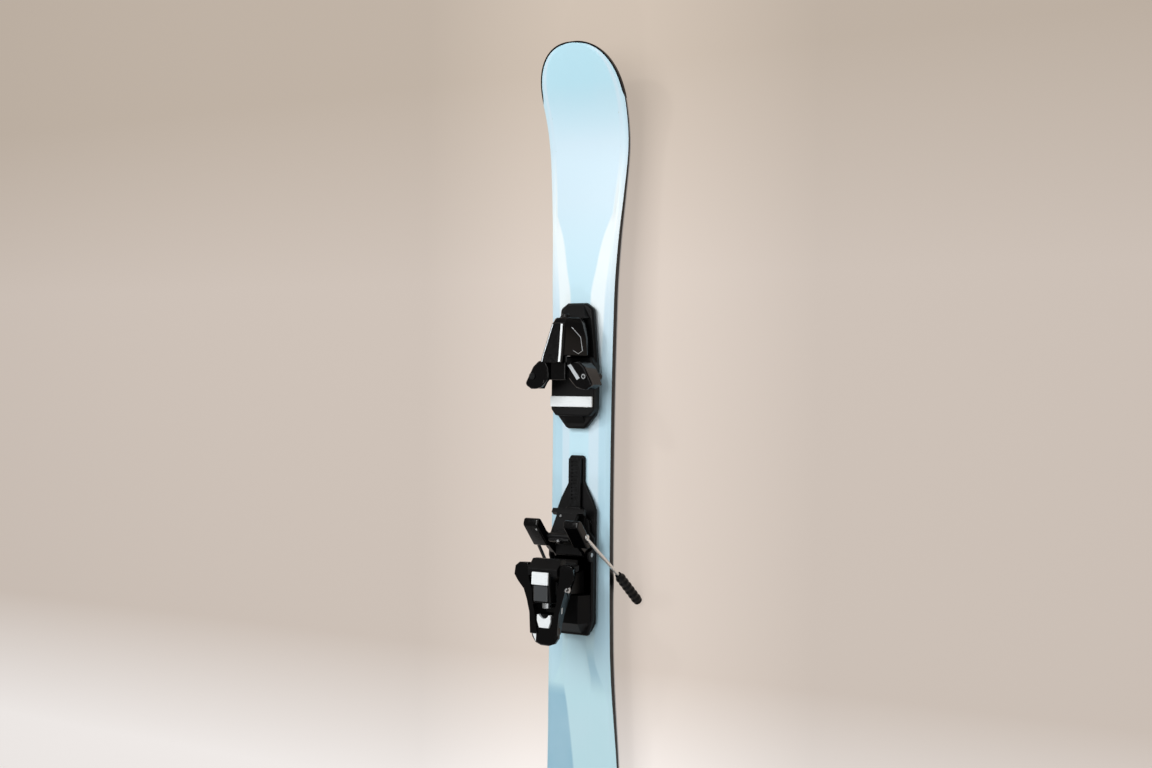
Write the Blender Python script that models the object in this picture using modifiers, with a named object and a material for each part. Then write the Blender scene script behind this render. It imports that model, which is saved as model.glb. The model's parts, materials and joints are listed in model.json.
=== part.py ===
"""Short race ski with toe piece, heel piece and ski brake.

Metres. +X points to the tip, +Y to the skier's left, +Z up from the running surface.
The origin lies on the running surface, below the middle of the boot.
"""

import math

import bmesh
import bpy
from mathutils import Matrix, Vector

COLLECTION = "race_ski"

# Fits
LAYER_GAP = 0.0002
GAP = 0.0003
RUNNING_CLEARANCE = 0.0001
MOVING_GAP = 0.0006
# How far a cutter runs past the face it opens
PAST = 0.002

# Ski outline
TIP_X = 0.4718
TAIL_X = -0.4450
TIP_ROUND_X = 0.4100
TAIL_ROUND_X = -0.3950
TIP_HALF = 0.0533
TAIL_HALF = 0.0480
TIP_SQUARENESS = 2.3
TAIL_SQUARENESS = 2.8
SIDECUT = (
    (TAIL_ROUND_X, TAIL_HALF),
    (-0.3270, 0.0459),
    (-0.2760, 0.0433),
    (-0.2310, 0.0412),
    (-0.1800, 0.0396),
    (-0.0900, 0.0383),
    (0.0000, 0.0379),
    (0.0900, 0.0384),
    (0.1930, 0.0404),
    (0.2577, 0.0432),
    (0.3021, 0.0467),
    (0.3578, 0.0512),
    (TIP_ROUND_X, TIP_HALF),
)

# Ski side view
FLAT_ZONE_X = 0.190
CAMBER = 0.0050
CONTACT_X = 0.345
TAIL_CONTACT_X = -0.400
TIP_BEND_LENGTH = 0.070
TIP_BEND_DROP = 0.0152
TAIL_RISE = 0.0040

# Ski section
SIDE_HEIGHT = 0.0088
SIDE_HEIGHT_END = 0.0042
SHELF_HEIGHT = 0.0110
SHELF_HEIGHT_END = 0.0056
THIN_FROM_X = 0.190
THIN_TO_X = 0.400
SPINE_RAISE = 0.0030
SPINE_RAISE_END = 0.0008
BEVEL_WIDTH = 0.0050
BEVEL_WIDTH_END = 0.0030
BASE_THICKNESS = 0.0013
EDGE_WIDTH = 0.0022
EDGE_HEIGHT = 0.0019
LAMINATE_THICKNESS = 0.0006
TOPSHEET_THICKNESS = 0.0008
SIDEWALL_WIDTH = 0.0060
LAMINATE_END = 0.0140
SPINE_TOP_HALF = (
    (-0.445, 0.0040),
    (-0.400, 0.0050),
    (-0.329, 0.0093),
    (-0.263, 0.0142),
    (-0.228, 0.0180),
    (-0.209, 0.0150),
    (-0.187, 0.0118),
    (-0.120, 0.0130),
    (0.193, 0.0132),
    (0.225, 0.0190),
    (0.258, 0.0258),
    (0.302, 0.0410),
    (0.472, 0.0600),
)
SPINE_FOOT_HALF = (
    (-0.445, 0.0600),
    (-0.262, 0.0400),
    (-0.242, 0.0360),
    (-0.231, 0.0310),
    (-0.209, 0.0225),
    (-0.187, 0.0208),
    (-0.120, 0.0240),
    (0.060, 0.0240),
    (0.193, 0.0298),
    (0.225, 0.0330),
    (0.258, 0.0370),
    (0.302, 0.0430),
    (0.472, 0.0600),
)
STATIONS_MIDDLE = 24
STATIONS_END = 10
END_INSET = 0.0006
END_INSET_LENGTH = 0.0080
END_RIM = 0.0018

# Toe piece
DECK_Z = SHELF_HEIGHT + SPINE_RAISE
PLATE_BOTTOM_Z = DECK_Z + GAP
TOE_FRONT_X = 0.187
TOE_REAR_X = 0.049
TOE_BLOCK_Z = 0.0290
TOE_BLOCK_HALF = 0.0280
REST_Z = 0.0320
REST_FRONT_X = 0.0845
REST_REAR_X = 0.0729
REST_HALF = 0.0270
WING_PIVOT_X = 0.1062
WING_PIVOT_Y = 0.0334
WING_PIN_RADIUS = 0.0029
EAR_RADIUS = 0.0045
EAR_BOTTOM_Z = 0.0276
WING_BOTTOM_Z = 0.0340
WING_LIP_Z = 0.0515
WING_TOP_Z = 0.0575
WING_INNER_Y = 0.0125
TOE_STOP_HALF = 0.0095
BOOT_TOE_RADIUS = 0.0360
BOOT_TOE_CENTRE_X = 0.0780
TOE_STOP_REAR_X = 0.1022
HOUSING_REAR_X = 0.1285
HOUSING_FRONT_X = 0.1700
TOE_BORE_Z = 0.0430
TOE_BORE_RADIUS = 0.0092
TOE_BORE_FRONT_X = 0.1630
TOE_SPRING_RADIUS = 0.0073
TOE_SPRING_WIRE = 0.0011
TOE_SPRING_CURLS = 6
TOE_SPRING_REAR_X = 0.1352
TOE_SPRING_FRONT_X = 0.1528
TOE_PLATE_TOP_Z = 0.0225
TOE_PLATE_PLAN = (
    (TOE_FRONT_X, 0.0118),
    (0.1808, 0.0210),
    (0.1268, 0.0262),
    (0.0654, 0.0262),
    (TOE_REAR_X, 0.0118),
)
TOE_BLOCK_FOOT_Z = 0.0160
TOE_BLOCK_PLAN = (
    (0.1280, 0.0230),
    (0.1180, TOE_BLOCK_HALF),
    (0.0700, TOE_BLOCK_HALF),
    (0.0630, 0.0220),
)
TOE_REAR_SLOPE_HALF = 0.0125
TOE_REAR_SLOPE_VIEW = (
    (0.0660, 0.0170),
    (0.0660, 0.0285),
    (0.0610, 0.0262),
    (0.0510, 0.0200),
    (0.0510, 0.0170),
)
TOE_NOSE_FOOT_Z = 0.0170
# X, half width at the foot and at the top, top Z
TOE_NOSE_SECTIONS = ((0.1700, 0.0200, 0.0170, 0.0310), (0.1850, 0.0110, 0.0100, 0.0235))
EAR_BRIDGE_Y = 0.0240
EAR_BRIDGE_HALF = 0.0040
EAR_BRIDGE_TOP_Z = 0.0310
WING_FRONT_PLAN = (
    (0.1160, WING_INNER_Y),
    (0.1222, WING_INNER_Y + 0.0040),
    (0.1228, 0.0262),
    (0.1165, 0.0335),
    (0.1086, 0.0378),
    (0.0990, 0.0432),
)
WING_TAIL_PLAN = ((0.0960, 0.0424), (0.0921, 0.0358), (0.0923, 0.0290))
WING_LIP_PLAN = ((0.0944, 0.0226), (0.1000, 0.0170), (0.1050, WING_INNER_Y))
WING_WALL_END = (0.0975, 0.0415)
WING_WALL_INSET = 0.0004
WING_WALL_TOP_Z = 0.0555
WING_WALL_OUTER_Y = 0.0330
HOUSING_BOTTOM_Z = 0.0315
# X, half width at the bottom, at the waist and at the top, waist Z and top Z
HOUSING_SECTIONS = (
    (HOUSING_REAR_X, 0.0225, 0.0235, 0.0132, 0.0360, 0.0672),
    (0.1480, 0.0215, 0.0225, 0.0105, 0.0370, 0.0610),
    (0.1640, 0.0185, 0.0195, 0.0080, 0.0400, 0.0560),
    (HOUSING_FRONT_X, 0.0150, 0.0160, 0.0070, 0.0400, 0.0505),
)
HOUSING_FOOT_Z = 0.0228
HOUSING_FOOT_PLAN = ((0.1680, 0.0140), (0.1480, 0.0190), (0.1300, 0.0200))
TOE_LID_Z = 0.0533
TOE_STOP_FRONT_X = 0.1162
NOSE_RELIEF = ((0.1692, -0.0220, 0.0200), (0.1740, 0.0220, 0.0318))
# X, half width and Z of the cover's underside, which lies on the housing's top
COVER_SECTIONS = (
    (0.1205, 0.0140, 0.0695),
    (HOUSING_REAR_X, 0.0134, 0.0672),
    (0.1480, 0.0103, 0.0610),
    (0.1640, 0.0080, 0.0560),
)
COVER_THICKNESS = 0.0024
COVER_TAPER = 0.93
PISTON_X = 0.1278
PISTON_PROFILE = (
    (0, 0.0060),
    (0.0050, 0.0060),
    (0.0051, 0.0088),
    (0.0070, 0.0088),
    (0.0071, 0.0048),
    (0.0120, 0.0048),
)
NUT_X = 0.1532
NUT_LENGTH = 0.0045
NUT_RADIUS = 0.0088
SETTING_SHANK_RADIUS = 0.0024
SETTING_SCREW_X = 0.1468
SETTING_SCREW_PROFILE = (
    (0, SETTING_SHANK_RADIUS),
    (0.0238, SETTING_SHANK_RADIUS),
    (0.0239, 0.0048),
    (0.0268, 0.0048),
    (0.0274, 0.0040),
)
SLOT_HALF = 0.0006
SLOT_FLOOR_X = 0.1730
WING_PIN_HEAD = 0.0008

# Heel piece
TONGUE_FRONT_X = 0.0195
TONGUE_HALF = 0.0100
TRACK_REAR_X = -0.1740
TRACK_HALF = 0.0255
TRACK_TOP_Z = 0.0183
TRACK_PLAN = (
    (TONGUE_FRONT_X, 0.0080),
    (TONGUE_FRONT_X - 0.0030, TONGUE_HALF),
    (-0.0090, TONGUE_HALF),
    (-0.0280, 0.0205),
    (-0.0400, TRACK_HALF),
    (-0.1640, TRACK_HALF),
    (TRACK_REAR_X, 0.0200),
)
RAIL_TOP_Z = 0.0224
RAIL_NECK_HALF = 0.0050
RAIL_LIP_HALF = 0.0078
RAIL_LIP_BOTTOM_Z = 0.0206
RAIL_NOTCHES = 11
RAIL_PITCH = 0.0040
RAIL_NOTCH = (0.0018, 0.0080, 0.0024)
CARRIAGE_HALF = 0.0265
CARRIAGE_FRONT_X = -0.0365
CARRIAGE_REAR_X = -0.1770
CARRIAGE_FLOOR_Z = 0.0250
CARRIAGE_PLAN = (
    (CARRIAGE_FRONT_X, 0.0085),
    (-0.0520, 0.0195),
    (-0.0630, 0.0205),
    (-0.0700, CARRIAGE_HALF),
    (-0.1600, CARRIAGE_HALF),
    (CARRIAGE_REAR_X, 0.0205),
)
# X, half width and Z at the foot, half width and Z at the top
CARRIAGE_REAR_SECTIONS = (
    (-0.1320, 0.0250, 0.0220, 0.0165, 0.0385),
    (-0.1630, 0.0250, 0.0220, 0.0155, 0.0365),
    (-0.1762, 0.0200, 0.0200, 0.0125, 0.0235),
)
HEEL_REST_Z = 0.0330
HEEL_REST_HALF = 0.0176
HEEL_REST_FRONT_X = -0.0765
HEEL_REST_REAR_X = -0.0897
PIVOT_X = -0.1220
PIVOT_Z = 0.0690
PIVOT_RADIUS = 0.0033
PIVOT_INNER_Y = 0.0086
PIVOT_OUTER_Y = 0.0247
CHEEK_INNER_Y = 0.0118
CHEEK_OUTER_Y = 0.0144
CHEEK_VIEW = (
    (-0.1060, 0.0240),
    (-0.1310, 0.0240),
    (-0.1270, 0.0760),
    (-0.1140, 0.0760),
    (-0.1100, 0.0640),
)
BRACKET_INNER_Y = 0.0238
BRACKET_VIEW = (
    (-0.0970, 0.0220),
    (-0.0950, 0.0300),
    (-0.0910, 0.0320),
    (-0.0850, 0.0320),
    (-0.0800, 0.0220),
)
CUP_HALF = 0.0112
CUP_TOP_Z = 0.0860
CUP_VIEW = (
    (-0.1040, 0.0520),
    (-0.1340, 0.0540),
    (-0.1365, 0.0640),
    (-0.1365, 0.0835),
    (-0.1180, CUP_TOP_Z),
    (-0.1040, CUP_TOP_Z - 0.0005),
)
CUP_WALL_HALF = 0.0188
CUP_WALL_VIEW = (
    (-0.0985, 0.0400),
    (-0.1045, 0.0400),
    (-0.1075, 0.0560),
    (-0.1075, 0.0830),
    (-0.1000, 0.0835),
    (-0.0900, 0.0740),
    (-0.0900, 0.0665),
    (-0.1005, 0.0650),
)
TREADLE_HALF = 0.0155
TREADLE_VIEW = ((-0.0930, 0.0370), (-0.1040, 0.0370), (-0.1040, 0.0430), (-0.0960, 0.0420))
WINDOW_REAR_X = -0.1342
WINDOW_FRONT_X = -0.1173
WINDOW_HALF = 0.0087
WINDOW_LOW_Z = 0.0832
WINDOW_TOP_Z = 0.0868
WINDOW_FLOOR_Z = 0.0815
LEVER_INNER_Y = 0.0156
# X, inner Y, outer Y at the bottom and at the top, bottom Z and top Z
LEVER_SECTIONS = (
    (-0.0945, 0.0225, 0.0290, 0.0325, 0.0735, 0.0790),
    (-0.0985, 0.0200, 0.0325, 0.0370, 0.0680, 0.0805),
    (-0.1080, 0.0198, 0.0300, 0.0385, 0.0640, 0.0805),
    (-0.1150, 0.0185, 0.0260, 0.0340, 0.0610, 0.0800),
    (-0.1230, 0.0158, 0.0222, 0.0268, 0.0600, 0.0795),
    (-0.1340, LEVER_INNER_Y, 0.0200, 0.0230, 0.0610, 0.0790),
    (-0.1480, 0.0125, 0.0172, 0.0190, 0.0650, 0.0795),
    (-0.1620, 0.0100, 0.0165, 0.0180, 0.0690, 0.0800),
    (-0.1700, 0.0080, 0.0160, 0.0175, 0.0700, 0.0800),
)
HANDLE_LOW_Z = 0.0715
HANDLE_TOP_Z = 0.0785
HANDLE_PLAN = (
    (-0.1490, 0.0120),
    (-0.1640, 0.0175),
    (-0.1740, 0.0165),
    (-0.1800, 0.0120),
    (-0.1825, 0.0050),
)
WEB_LOW_Z = 0.0656
WEB_TOP_Z = 0.0676
WEB_PLAN = ((-0.1383, LEVER_INNER_Y + 0.0010), (-0.1570, 0.0120))
TRIM_SEAT = ((-0.1635, -0.0090, 0.0760), (-0.1400, 0.0090, 0.0830))
TRIM_PLAN = ((-0.1495, WINDOW_HALF), (-0.1560, WINDOW_HALF), (-0.1632, 0.0060))
TRIM_LOW_Z = 0.0763
TRIM_TOP_Z = 0.0798
TRIM_DIP_X = -0.1470
TRIM_DIP_RADIUS = 0.0065
FRONT_TRIM_HALF = 0.0105
FRONT_TRIM_VIEW = (
    (-0.1030, 0.0863),
    (-0.1165, 0.0868),
    (-0.1165, 0.0890),
    (-0.1040, 0.0885),
    (-0.1030, 0.0876),
)
HEEL_BORE_Z = 0.0740
HEEL_BORE_RADIUS = 0.0072
HEEL_BORE_END_X = -0.1110
HEEL_SCREW_X_START = -0.1343
HEEL_SCREW_PROFILE = (
    (0, 0.0066),
    (0.0022, 0.0066),
    (0.0023, 0.0052),
    (0.0080, 0.0052),
    (0.0086, 0.0044),
)
HEEL_SLOT_FLOOR_X = -0.1415
HEEL_SPRING_RADIUS = 0.0056
HEEL_SPRING_WIRE = 0.0010
HEEL_SPRING_CURLS = 7
PRESSURE_BORE_Z = 0.0300
PRESSURE_BORE_RADIUS = 0.0055
PRESSURE_SPRING_RADIUS = 0.0042
PRESSURE_SPRING_WIRE = 0.0007
PRESSURE_SPRING_CURLS = 7
PRESSURE_BORE_FRONT_X = -0.1300
PRESSURE_BORE_REAR_X = -0.1640
PRESSURE_SPRING_FRONT_X = -0.1395

# Brake
ARM_PIVOT_X = -0.0880
ARM_PIVOT_Z = 0.0260
ARM_PIN_RADIUS = 0.0024
ARM_TOP_X = -0.0675
ARM_TOP_Z = 0.0500
ARM_TOP_Y = 0.0337
WIRE_RADIUS = 0.0019
BEND_SWELL = 1.7
WIRE_INNER_Y = 0.0040
CLAW_START = (-0.1100, 0.0455, 0.0026)
CLAW_END = (-0.1435, 0.0475, -0.0380)
SHOE_INNER_Y = 0.0165
SHOE_OUTER_Y = 0.0355
SHOE_LEG_INNER_Y = 0.0182
SHOE_LEG_OUTER_Y = 0.0232
SHOE_ANGLE = math.radians(42)
SHOE_MIDDLE = (-0.0632, 0.0560)
SHOE_HALF_LENGTH = 0.0195
SHOE_HALF_THICKNESS = 0.0055
SHOE_BOSS_RADIUS = 0.0044
SHOE_BOSS_END_Y = 0.0300
BEND_ROOM_RADIUS = 0.0050
LEG_VIEW = (
    (ARM_PIVOT_X - 0.0040, ARM_PIVOT_Z + 0.0010),
    (ARM_PIVOT_X - 0.0020, ARM_PIVOT_Z - 0.0036),
    (ARM_PIVOT_X + 0.0025, ARM_PIVOT_Z - 0.0036),
    (ARM_PIVOT_X + 0.0050, ARM_PIVOT_Z - 0.0005),
    (-0.0640, 0.0485),
    (-0.0690, 0.0540),
    (-0.0760, 0.0480),
)
PEDAL_ANGLE = math.radians(32.3)
PEDAL_FRONT = (-0.0380, 0.0330)
PEDAL_THICKNESS = 0.0052
PEDAL_HALF = 0.0135
PEDAL_FRONT_HALF = 0.0205
PEDAL_LENGTH = 0.0400
PEDAL_DISC_RADIUS = 0.0074
PEDAL_DISC_HEIGHT = 0.0062
PEDAL_DISC_DROP = 0.0044
KNUCKLE_RADIUS = 0.0036
BEND_ROUNDING = 0.0030
CLAW_RIBS = 6
CLAW_NECK_RADIUS = 0.0036
CLAW_ROOT_RADIUS = 0.0042
CLAW_RIB_RADIUS = 0.0056
CLAW_VALLEY_RADIUS = 0.0044
CLAW_END_RADIUS = 0.0050

# Mounting screws
TOE_SCREW_X = (0.1180, 0.0765)
TOE_SCREW_Y = 0.0175
HEEL_SCREW_X = (-0.0540, -0.1500)
HEEL_SCREW_Y = 0.0160
SCREW_SHANK_RADIUS = 0.0024
SCREW_HEAD_RADIUS = 0.0042
SCREW_HEAD_HEIGHT = 0.0024
SCREW_CONE_HEIGHT = 0.0012
SCREW_POINT_LENGTH = 0.0015
SCREW_TIP_Z = 0.0065
SCREW_HOLE_BOTTOM_Z = 0.0060


def clear_scene():
    for old in list(bpy.data.objects):
        bpy.data.objects.remove(old)


def make_collection(name, hidden=False):
    made = bpy.data.collections.new(name)
    bpy.context.scene.collection.children.link(made)
    made.hide_render = hidden
    return made


def material(name, colour, roughness, metallic=0.0):
    made = bpy.data.materials.new(name)
    made.use_nodes = True
    shader = made.node_tree.nodes["Principled BSDF"]
    shader.inputs["Base Color"].default_value = (*colour, 1.0)
    shader.inputs["Roughness"].default_value = roughness
    shader.inputs["Metallic"].default_value = metallic
    return made


def finish(mesh, name, look, origin=(0, 0, 0), smooth=False):
    """Puts a bmesh, whose points are in world space, into the scene as one part."""
    bmesh.ops.recalc_face_normals(mesh, faces=mesh.faces)
    bmesh.ops.translate(mesh, verts=mesh.verts, vec=-Vector(origin))
    data = bpy.data.meshes.new(name)
    for face in mesh.faces:
        face.smooth = smooth
    mesh.to_mesh(data)
    mesh.free()
    made = bpy.data.objects.new(name, data)
    made.location = origin
    if look is None:
        CUTTERS.objects.link(made)
        made.hide_render = True
        made.display_type = "WIRE"
    else:
        PARTS.objects.link(made)
        data.materials.append(look)
    return made


def loft_into(mesh, rings, split=False):
    """Adds a skin over closed rings of equal length, with a flat face at each end.

    Split faces all bend along the line from the outer point of the near ring,
    so that two layers over one another bend alike.
    """
    rows = [[mesh.verts.new(point) for point in ring] for ring in rings]
    count = len(rows[0])
    for near, far in zip(rows, rows[1:]):
        for i in range(count):
            j = (i + 1) % count
            if not split:
                mesh.faces.new((near[i], near[j], far[j], far[i]))
            elif abs(near[i].co.y) > abs(near[j].co.y):
                mesh.faces.new((near[i], near[j], far[j]))
                mesh.faces.new((near[i], far[j], far[i]))
            else:
                mesh.faces.new((near[i], near[j], far[i]))
                mesh.faces.new((near[j], far[j], far[i]))
    mesh.faces.new(rows[0])
    mesh.faces.new(reversed(rows[-1]))


def loft(name, rings, look, origin=(0, 0, 0), smooth=False, split=False):
    mesh = bmesh.new()
    loft_into(mesh, rings, split)
    return finish(mesh, name, look, origin, smooth)


def slab(name, outline, low, high, look, origin=(0, 0, 0)):
    """A flat outline in X and Y, raised from one height to another."""
    rings = [[(x, y, z) for x, y in outline] for z in (low, high)]
    return loft(name, rings, look, origin)


def side_slab(name, outline, low, high, look, origin=(0, 0, 0)):
    """A flat outline in X and Z, spread from one Y to another."""
    rings = [[(x, y, z) for x, z in outline] for y in (low, high)]
    return loft(name, rings, look, origin)


def box(name, low, high, look, origin=(0, 0, 0)):
    mesh = bmesh.new()
    bmesh.ops.create_cube(mesh, size=1)
    size = [b - a for a, b in zip(low, high)]
    middle = [(a + b) / 2 for a, b in zip(low, high)]
    bmesh.ops.scale(mesh, verts=mesh.verts, vec=size)
    bmesh.ops.translate(mesh, verts=mesh.verts, vec=middle)
    return finish(mesh, name, look, origin)


def turned(name, start, along, profile, look, segments=20, origin=(0, 0, 0), smooth=True):
    """A round solid: profile holds (distance from start, radius) pairs along a direction."""
    along = Vector(along).normalized()
    turn = along.to_track_quat("Z", "Y").to_matrix()
    rings = []
    for distance, radius in profile:
        centre = Vector(start) + along * distance
        ring = []
        for i in range(segments):
            angle = 2 * math.pi * i / segments
            spoke = Vector((radius * math.cos(angle), radius * math.sin(angle), 0))
            ring.append(centre + turn @ spoke)
        rings.append(ring)
    return loft(name, rings, look, origin, smooth)


def rod(name, start, end, radius, look, segments=20, origin=(0, 0, 0)):
    length = (Vector(end) - Vector(start)).length
    along = Vector(end) - Vector(start)
    return turned(name, start, along, ((0, radius), (length, radius)), look, segments, origin)


def bevel(part, width, segments=1):
    made = part.modifiers.new("bevel", "BEVEL")
    made.width = width
    made.segments = segments
    made.limit_method = "ANGLE"
    made.angle_limit = math.radians(40)
    return part


def boolean(part, other, operation):
    made = part.modifiers.new(operation.lower(), "BOOLEAN")
    made.operation = operation
    made.solver = "EXACT"
    made.object = other
    return part


def cut(part, other):
    return boolean(part, other, "DIFFERENCE")


def join(part, other):
    return boolean(part, other, "UNION")


def wire(name, points, radius, look, origin=(0, 0, 0), fineness=2, swells=None):
    """A round wire through points; swells gives the share of the radius at some of them."""
    curve = bpy.data.curves.new(name, "CURVE")
    curve.dimensions = "3D"
    curve.bevel_depth = radius
    curve.bevel_resolution = fineness
    curve.use_fill_caps = True
    line = curve.splines.new("POLY")
    line.points.add(len(points) - 1)
    for i, (spot, point) in enumerate(zip(line.points, points)):
        spot.co = (*(Vector(point) - Vector(origin)), 1)
        spot.radius = (swells or {}).get(i, 1)
    made = bpy.data.objects.new(name, curve)
    made.location = origin
    PARTS.objects.link(made)
    curve.materials.append(look)
    return made


def spring(name, centre_z, start_x, end_x, radius, wire_radius, curls, look):
    """A coil along X with the ends at start_x and end_x, 9 points a curl."""
    per_curl = 9
    count = curls * per_curl
    first = start_x + wire_radius
    last = end_x - wire_radius
    points = []
    for i in range(count + 1):
        angle = 2 * math.pi * i / per_curl
        x = first + (last - first) * i / count
        points.append((x, radius * math.cos(angle), centre_z + radius * math.sin(angle)))
    least_gap = abs(last - first) / curls - 2 * wire_radius
    print(f"{name}: least gap between curls {least_gap * 1000:.2f} mm")
    return wire(name, points, wire_radius, look, fineness=1)


# The ski


def between(table, x):
    """Smooth value at x through the (x, value) pairs of a table in rising x."""
    if x <= table[0][0]:
        return table[0][1]
    if x >= table[-1][0]:
        return table[-1][1]
    slopes = []
    for i in range(len(table)):
        low = table[max(i - 1, 0)]
        high = table[min(i + 1, len(table) - 1)]
        slopes.append((high[1] - low[1]) / (high[0] - low[0]))
    for i in range(len(table) - 1):
        x0, y0 = table[i]
        x1, y1 = table[i + 1]
        if x <= x1:
            span = x1 - x0
            t = (x - x0) / span
            lift_off = (1 + 2 * t) * (1 - t) ** 2 * y0 + t * t * (3 - 2 * t) * y1
            lean = t * (1 - t) ** 2 * slopes[i] - t * t * (1 - t) * slopes[i + 1]
            return lift_off + lean * span
    raise ValueError("x is outside the table")


def ease(t):
    t = min(max(t, 0), 1)
    return t * t * (3 - 2 * t)


def half_width(x, inset=0.0):
    if x > TIP_ROUND_X:
        reach = min((x - TIP_ROUND_X) / (TIP_X - TIP_ROUND_X - inset), 1)
        return (TIP_HALF - inset) * (1 - reach**TIP_SQUARENESS) ** (1 / TIP_SQUARENESS)
    if x < TAIL_ROUND_X:
        reach = min((TAIL_ROUND_X - x) / (TAIL_ROUND_X - TAIL_X - inset), 1)
        return (TAIL_HALF - inset) * (1 - reach**TAIL_SQUARENESS) ** (1 / TAIL_SQUARENESS)
    return between(SIDECUT, x) - inset


def lift(x):
    """Height of the running surface: flat below the boot, cambered beyond, and turned up at the ends."""
    height = -CAMBER * ease((abs(x) - FLAT_ZONE_X) / (CONTACT_X - FLAT_ZONE_X))
    past = x - CONTACT_X
    if past > 0:
        bend = min(past, TIP_BEND_LENGTH) / TIP_BEND_LENGTH
        slope = 2 * TIP_BEND_DROP / TIP_BEND_LENGTH
        height += TIP_BEND_DROP * bend**2 + slope * max(past - TIP_BEND_LENGTH, 0)
    past = TAIL_CONTACT_X - x
    if past > 0:
        height += TAIL_RISE * (past / (TAIL_CONTACT_X - TAIL_X)) ** 2
    return height


def thinned(x, middle, end):
    return middle + (end - middle) * ease((abs(x) - THIN_FROM_X) / (THIN_TO_X - THIN_FROM_X))


def side_height(x):
    return thinned(x, SIDE_HEIGHT, SIDE_HEIGHT_END)


def end_share(x):
    """0 along the sides and 1 round the ends, changing over a short length."""
    past = max(x - TIP_ROUND_X, TAIL_ROUND_X - x, 0)
    return min(past / END_INSET_LENGTH, 1)


def top_profile(x, inset=0.0):
    """Right half of the top surface as (y, z) pairs, from the side to the middle."""
    half = half_width(x, inset)
    shelf = thinned(x, SHELF_HEIGHT, SHELF_HEIGHT_END)
    spine = shelf + thinned(x, SPINE_RAISE, SPINE_RAISE_END)
    bevel_width = min(thinned(x, BEVEL_WIDTH, BEVEL_WIDTH_END), 0.5 * half)
    shelf_half = half - bevel_width
    foot = min(between(SPINE_FOOT_HALF, x), 0.96 * shelf_half)
    crest = min(between(SPINE_TOP_HALF, x), 0.92 * foot)
    return (half, side_height(x)), (shelf_half, shelf), (foot, shelf), (crest, spine)


def mirrored(x, pairs):
    """A closed ring at x from (y, z) pairs of the right half, going round from the lower right."""
    ring = [(x, -y, z + lift(x)) for y, z in pairs]
    ring += [(x, y, z + lift(x)) for y, z in reversed(pairs)]
    return ring


def stations(start, end):
    """X values from one end of a layer to the other, closer together where the outline turns."""
    found = []
    if start < TAIL_ROUND_X:
        for i in range(STATIONS_END):
            found.append(TAIL_ROUND_X + (start - TAIL_ROUND_X) * math.cos(i * math.pi / 2 / STATIONS_END))
        start = TAIL_ROUND_X
    tip_end = end
    end = min(end, TIP_ROUND_X)
    found += [start + (end - start) * i / STATIONS_MIDDLE for i in range(STATIONS_MIDDLE + 1)]
    if tip_end > TIP_ROUND_X:
        for i in range(1, STATIONS_END + 1):
            found.append(TIP_ROUND_X + (tip_end - TIP_ROUND_X) * math.sin(i * math.pi / 2 / STATIONS_END))
    return found


def flat_layer(name, start, end, inset, low, high, look):
    """A flat layer between the edges, drawn in a little more where the end guards take over."""
    rings = []
    for x in stations(start, end):
        half = half_width(x, inset + END_INSET * end_share(x))
        rings.append(mirrored(x, ((half, low), (half, high))))
    return loft(name, rings, look)


def top_layer(name, start, end, side_inset, top_drop, thickness, look, bottom=None):
    """A layer that follows the top surface, top_drop below it, or that fills down to a flat bottom."""
    rings = []
    for x in stations(start, end):
        _, (_, shelf), (foot, _), (crest, spine) = top_profile(x)
        half = half_width(x, side_inset + END_RIM * end_share(x))
        foot = min(foot, 0.97 * half)
        crest = min(crest, 0.94 * half)
        upper = [(half, shelf - top_drop), (foot, shelf - top_drop), (crest, spine - top_drop)]
        if bottom is None:
            lower = [(y, z - thickness) for y, z in upper]
        else:
            lower = [(y, bottom) for y, z in upper]
        ring = [(x, -y, z + lift(x)) for y, z in upper]
        ring += [(x, y, z + lift(x)) for y, z in reversed(upper)]
        ring += [(x, y, z + lift(x)) for y, z in lower]
        ring += [(x, -y, z + lift(x)) for y, z in reversed(lower)]
        rings.append(ring)
    return loft(name, rings, look, split=True)


def topsheet(look):
    """The printed film with its sloping sides, drawn in at the ends, where the rim of the guards shows."""
    rings = []
    for x in stations(TAIL_X + END_RIM + LAYER_GAP, TIP_X - END_RIM - LAYER_GAP):
        rim, shelf_edge, foot, crest = top_profile(x, END_RIM * end_share(x))
        rim = (rim[0], rim[1] + LAYER_GAP)
        inner_half = max(shelf_edge[0] - TOPSHEET_THICKNESS, 0.6 * shelf_edge[0])
        inner = [
            (inner_half, rim[1]),
            (inner_half, shelf_edge[1] - TOPSHEET_THICKNESS),
            (min(foot[0], 0.97 * inner_half), foot[1] - TOPSHEET_THICKNESS),
            (min(crest[0], 0.94 * inner_half), crest[1] - TOPSHEET_THICKNESS),
        ]
        outer = [rim, shelf_edge, foot, crest]
        ring = [(x, -y, z + lift(x)) for y, z in outer]
        ring += [(x, y, z + lift(x)) for y, z in reversed(outer)]
        ring += [(x, y, z + lift(x)) for y, z in inner]
        ring += [(x, -y, z + lift(x)) for y, z in reversed(inner)]
        rings.append(ring)
    return loft("topsheet", rings, look, split=True)


def side_strip(name, side, width, low, high_of_x, look):
    rings = []
    for x in stations(TAIL_ROUND_X, TIP_ROUND_X):
        outer = side * half_width(x)
        inner = side * (half_width(x) - width)
        base = lift(x)
        top = high_of_x(x) + base
        rings.append([(x, inner, low + base), (x, outer, low + base), (x, outer, top), (x, inner, top)])
    return loft(name, rings, look)


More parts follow.
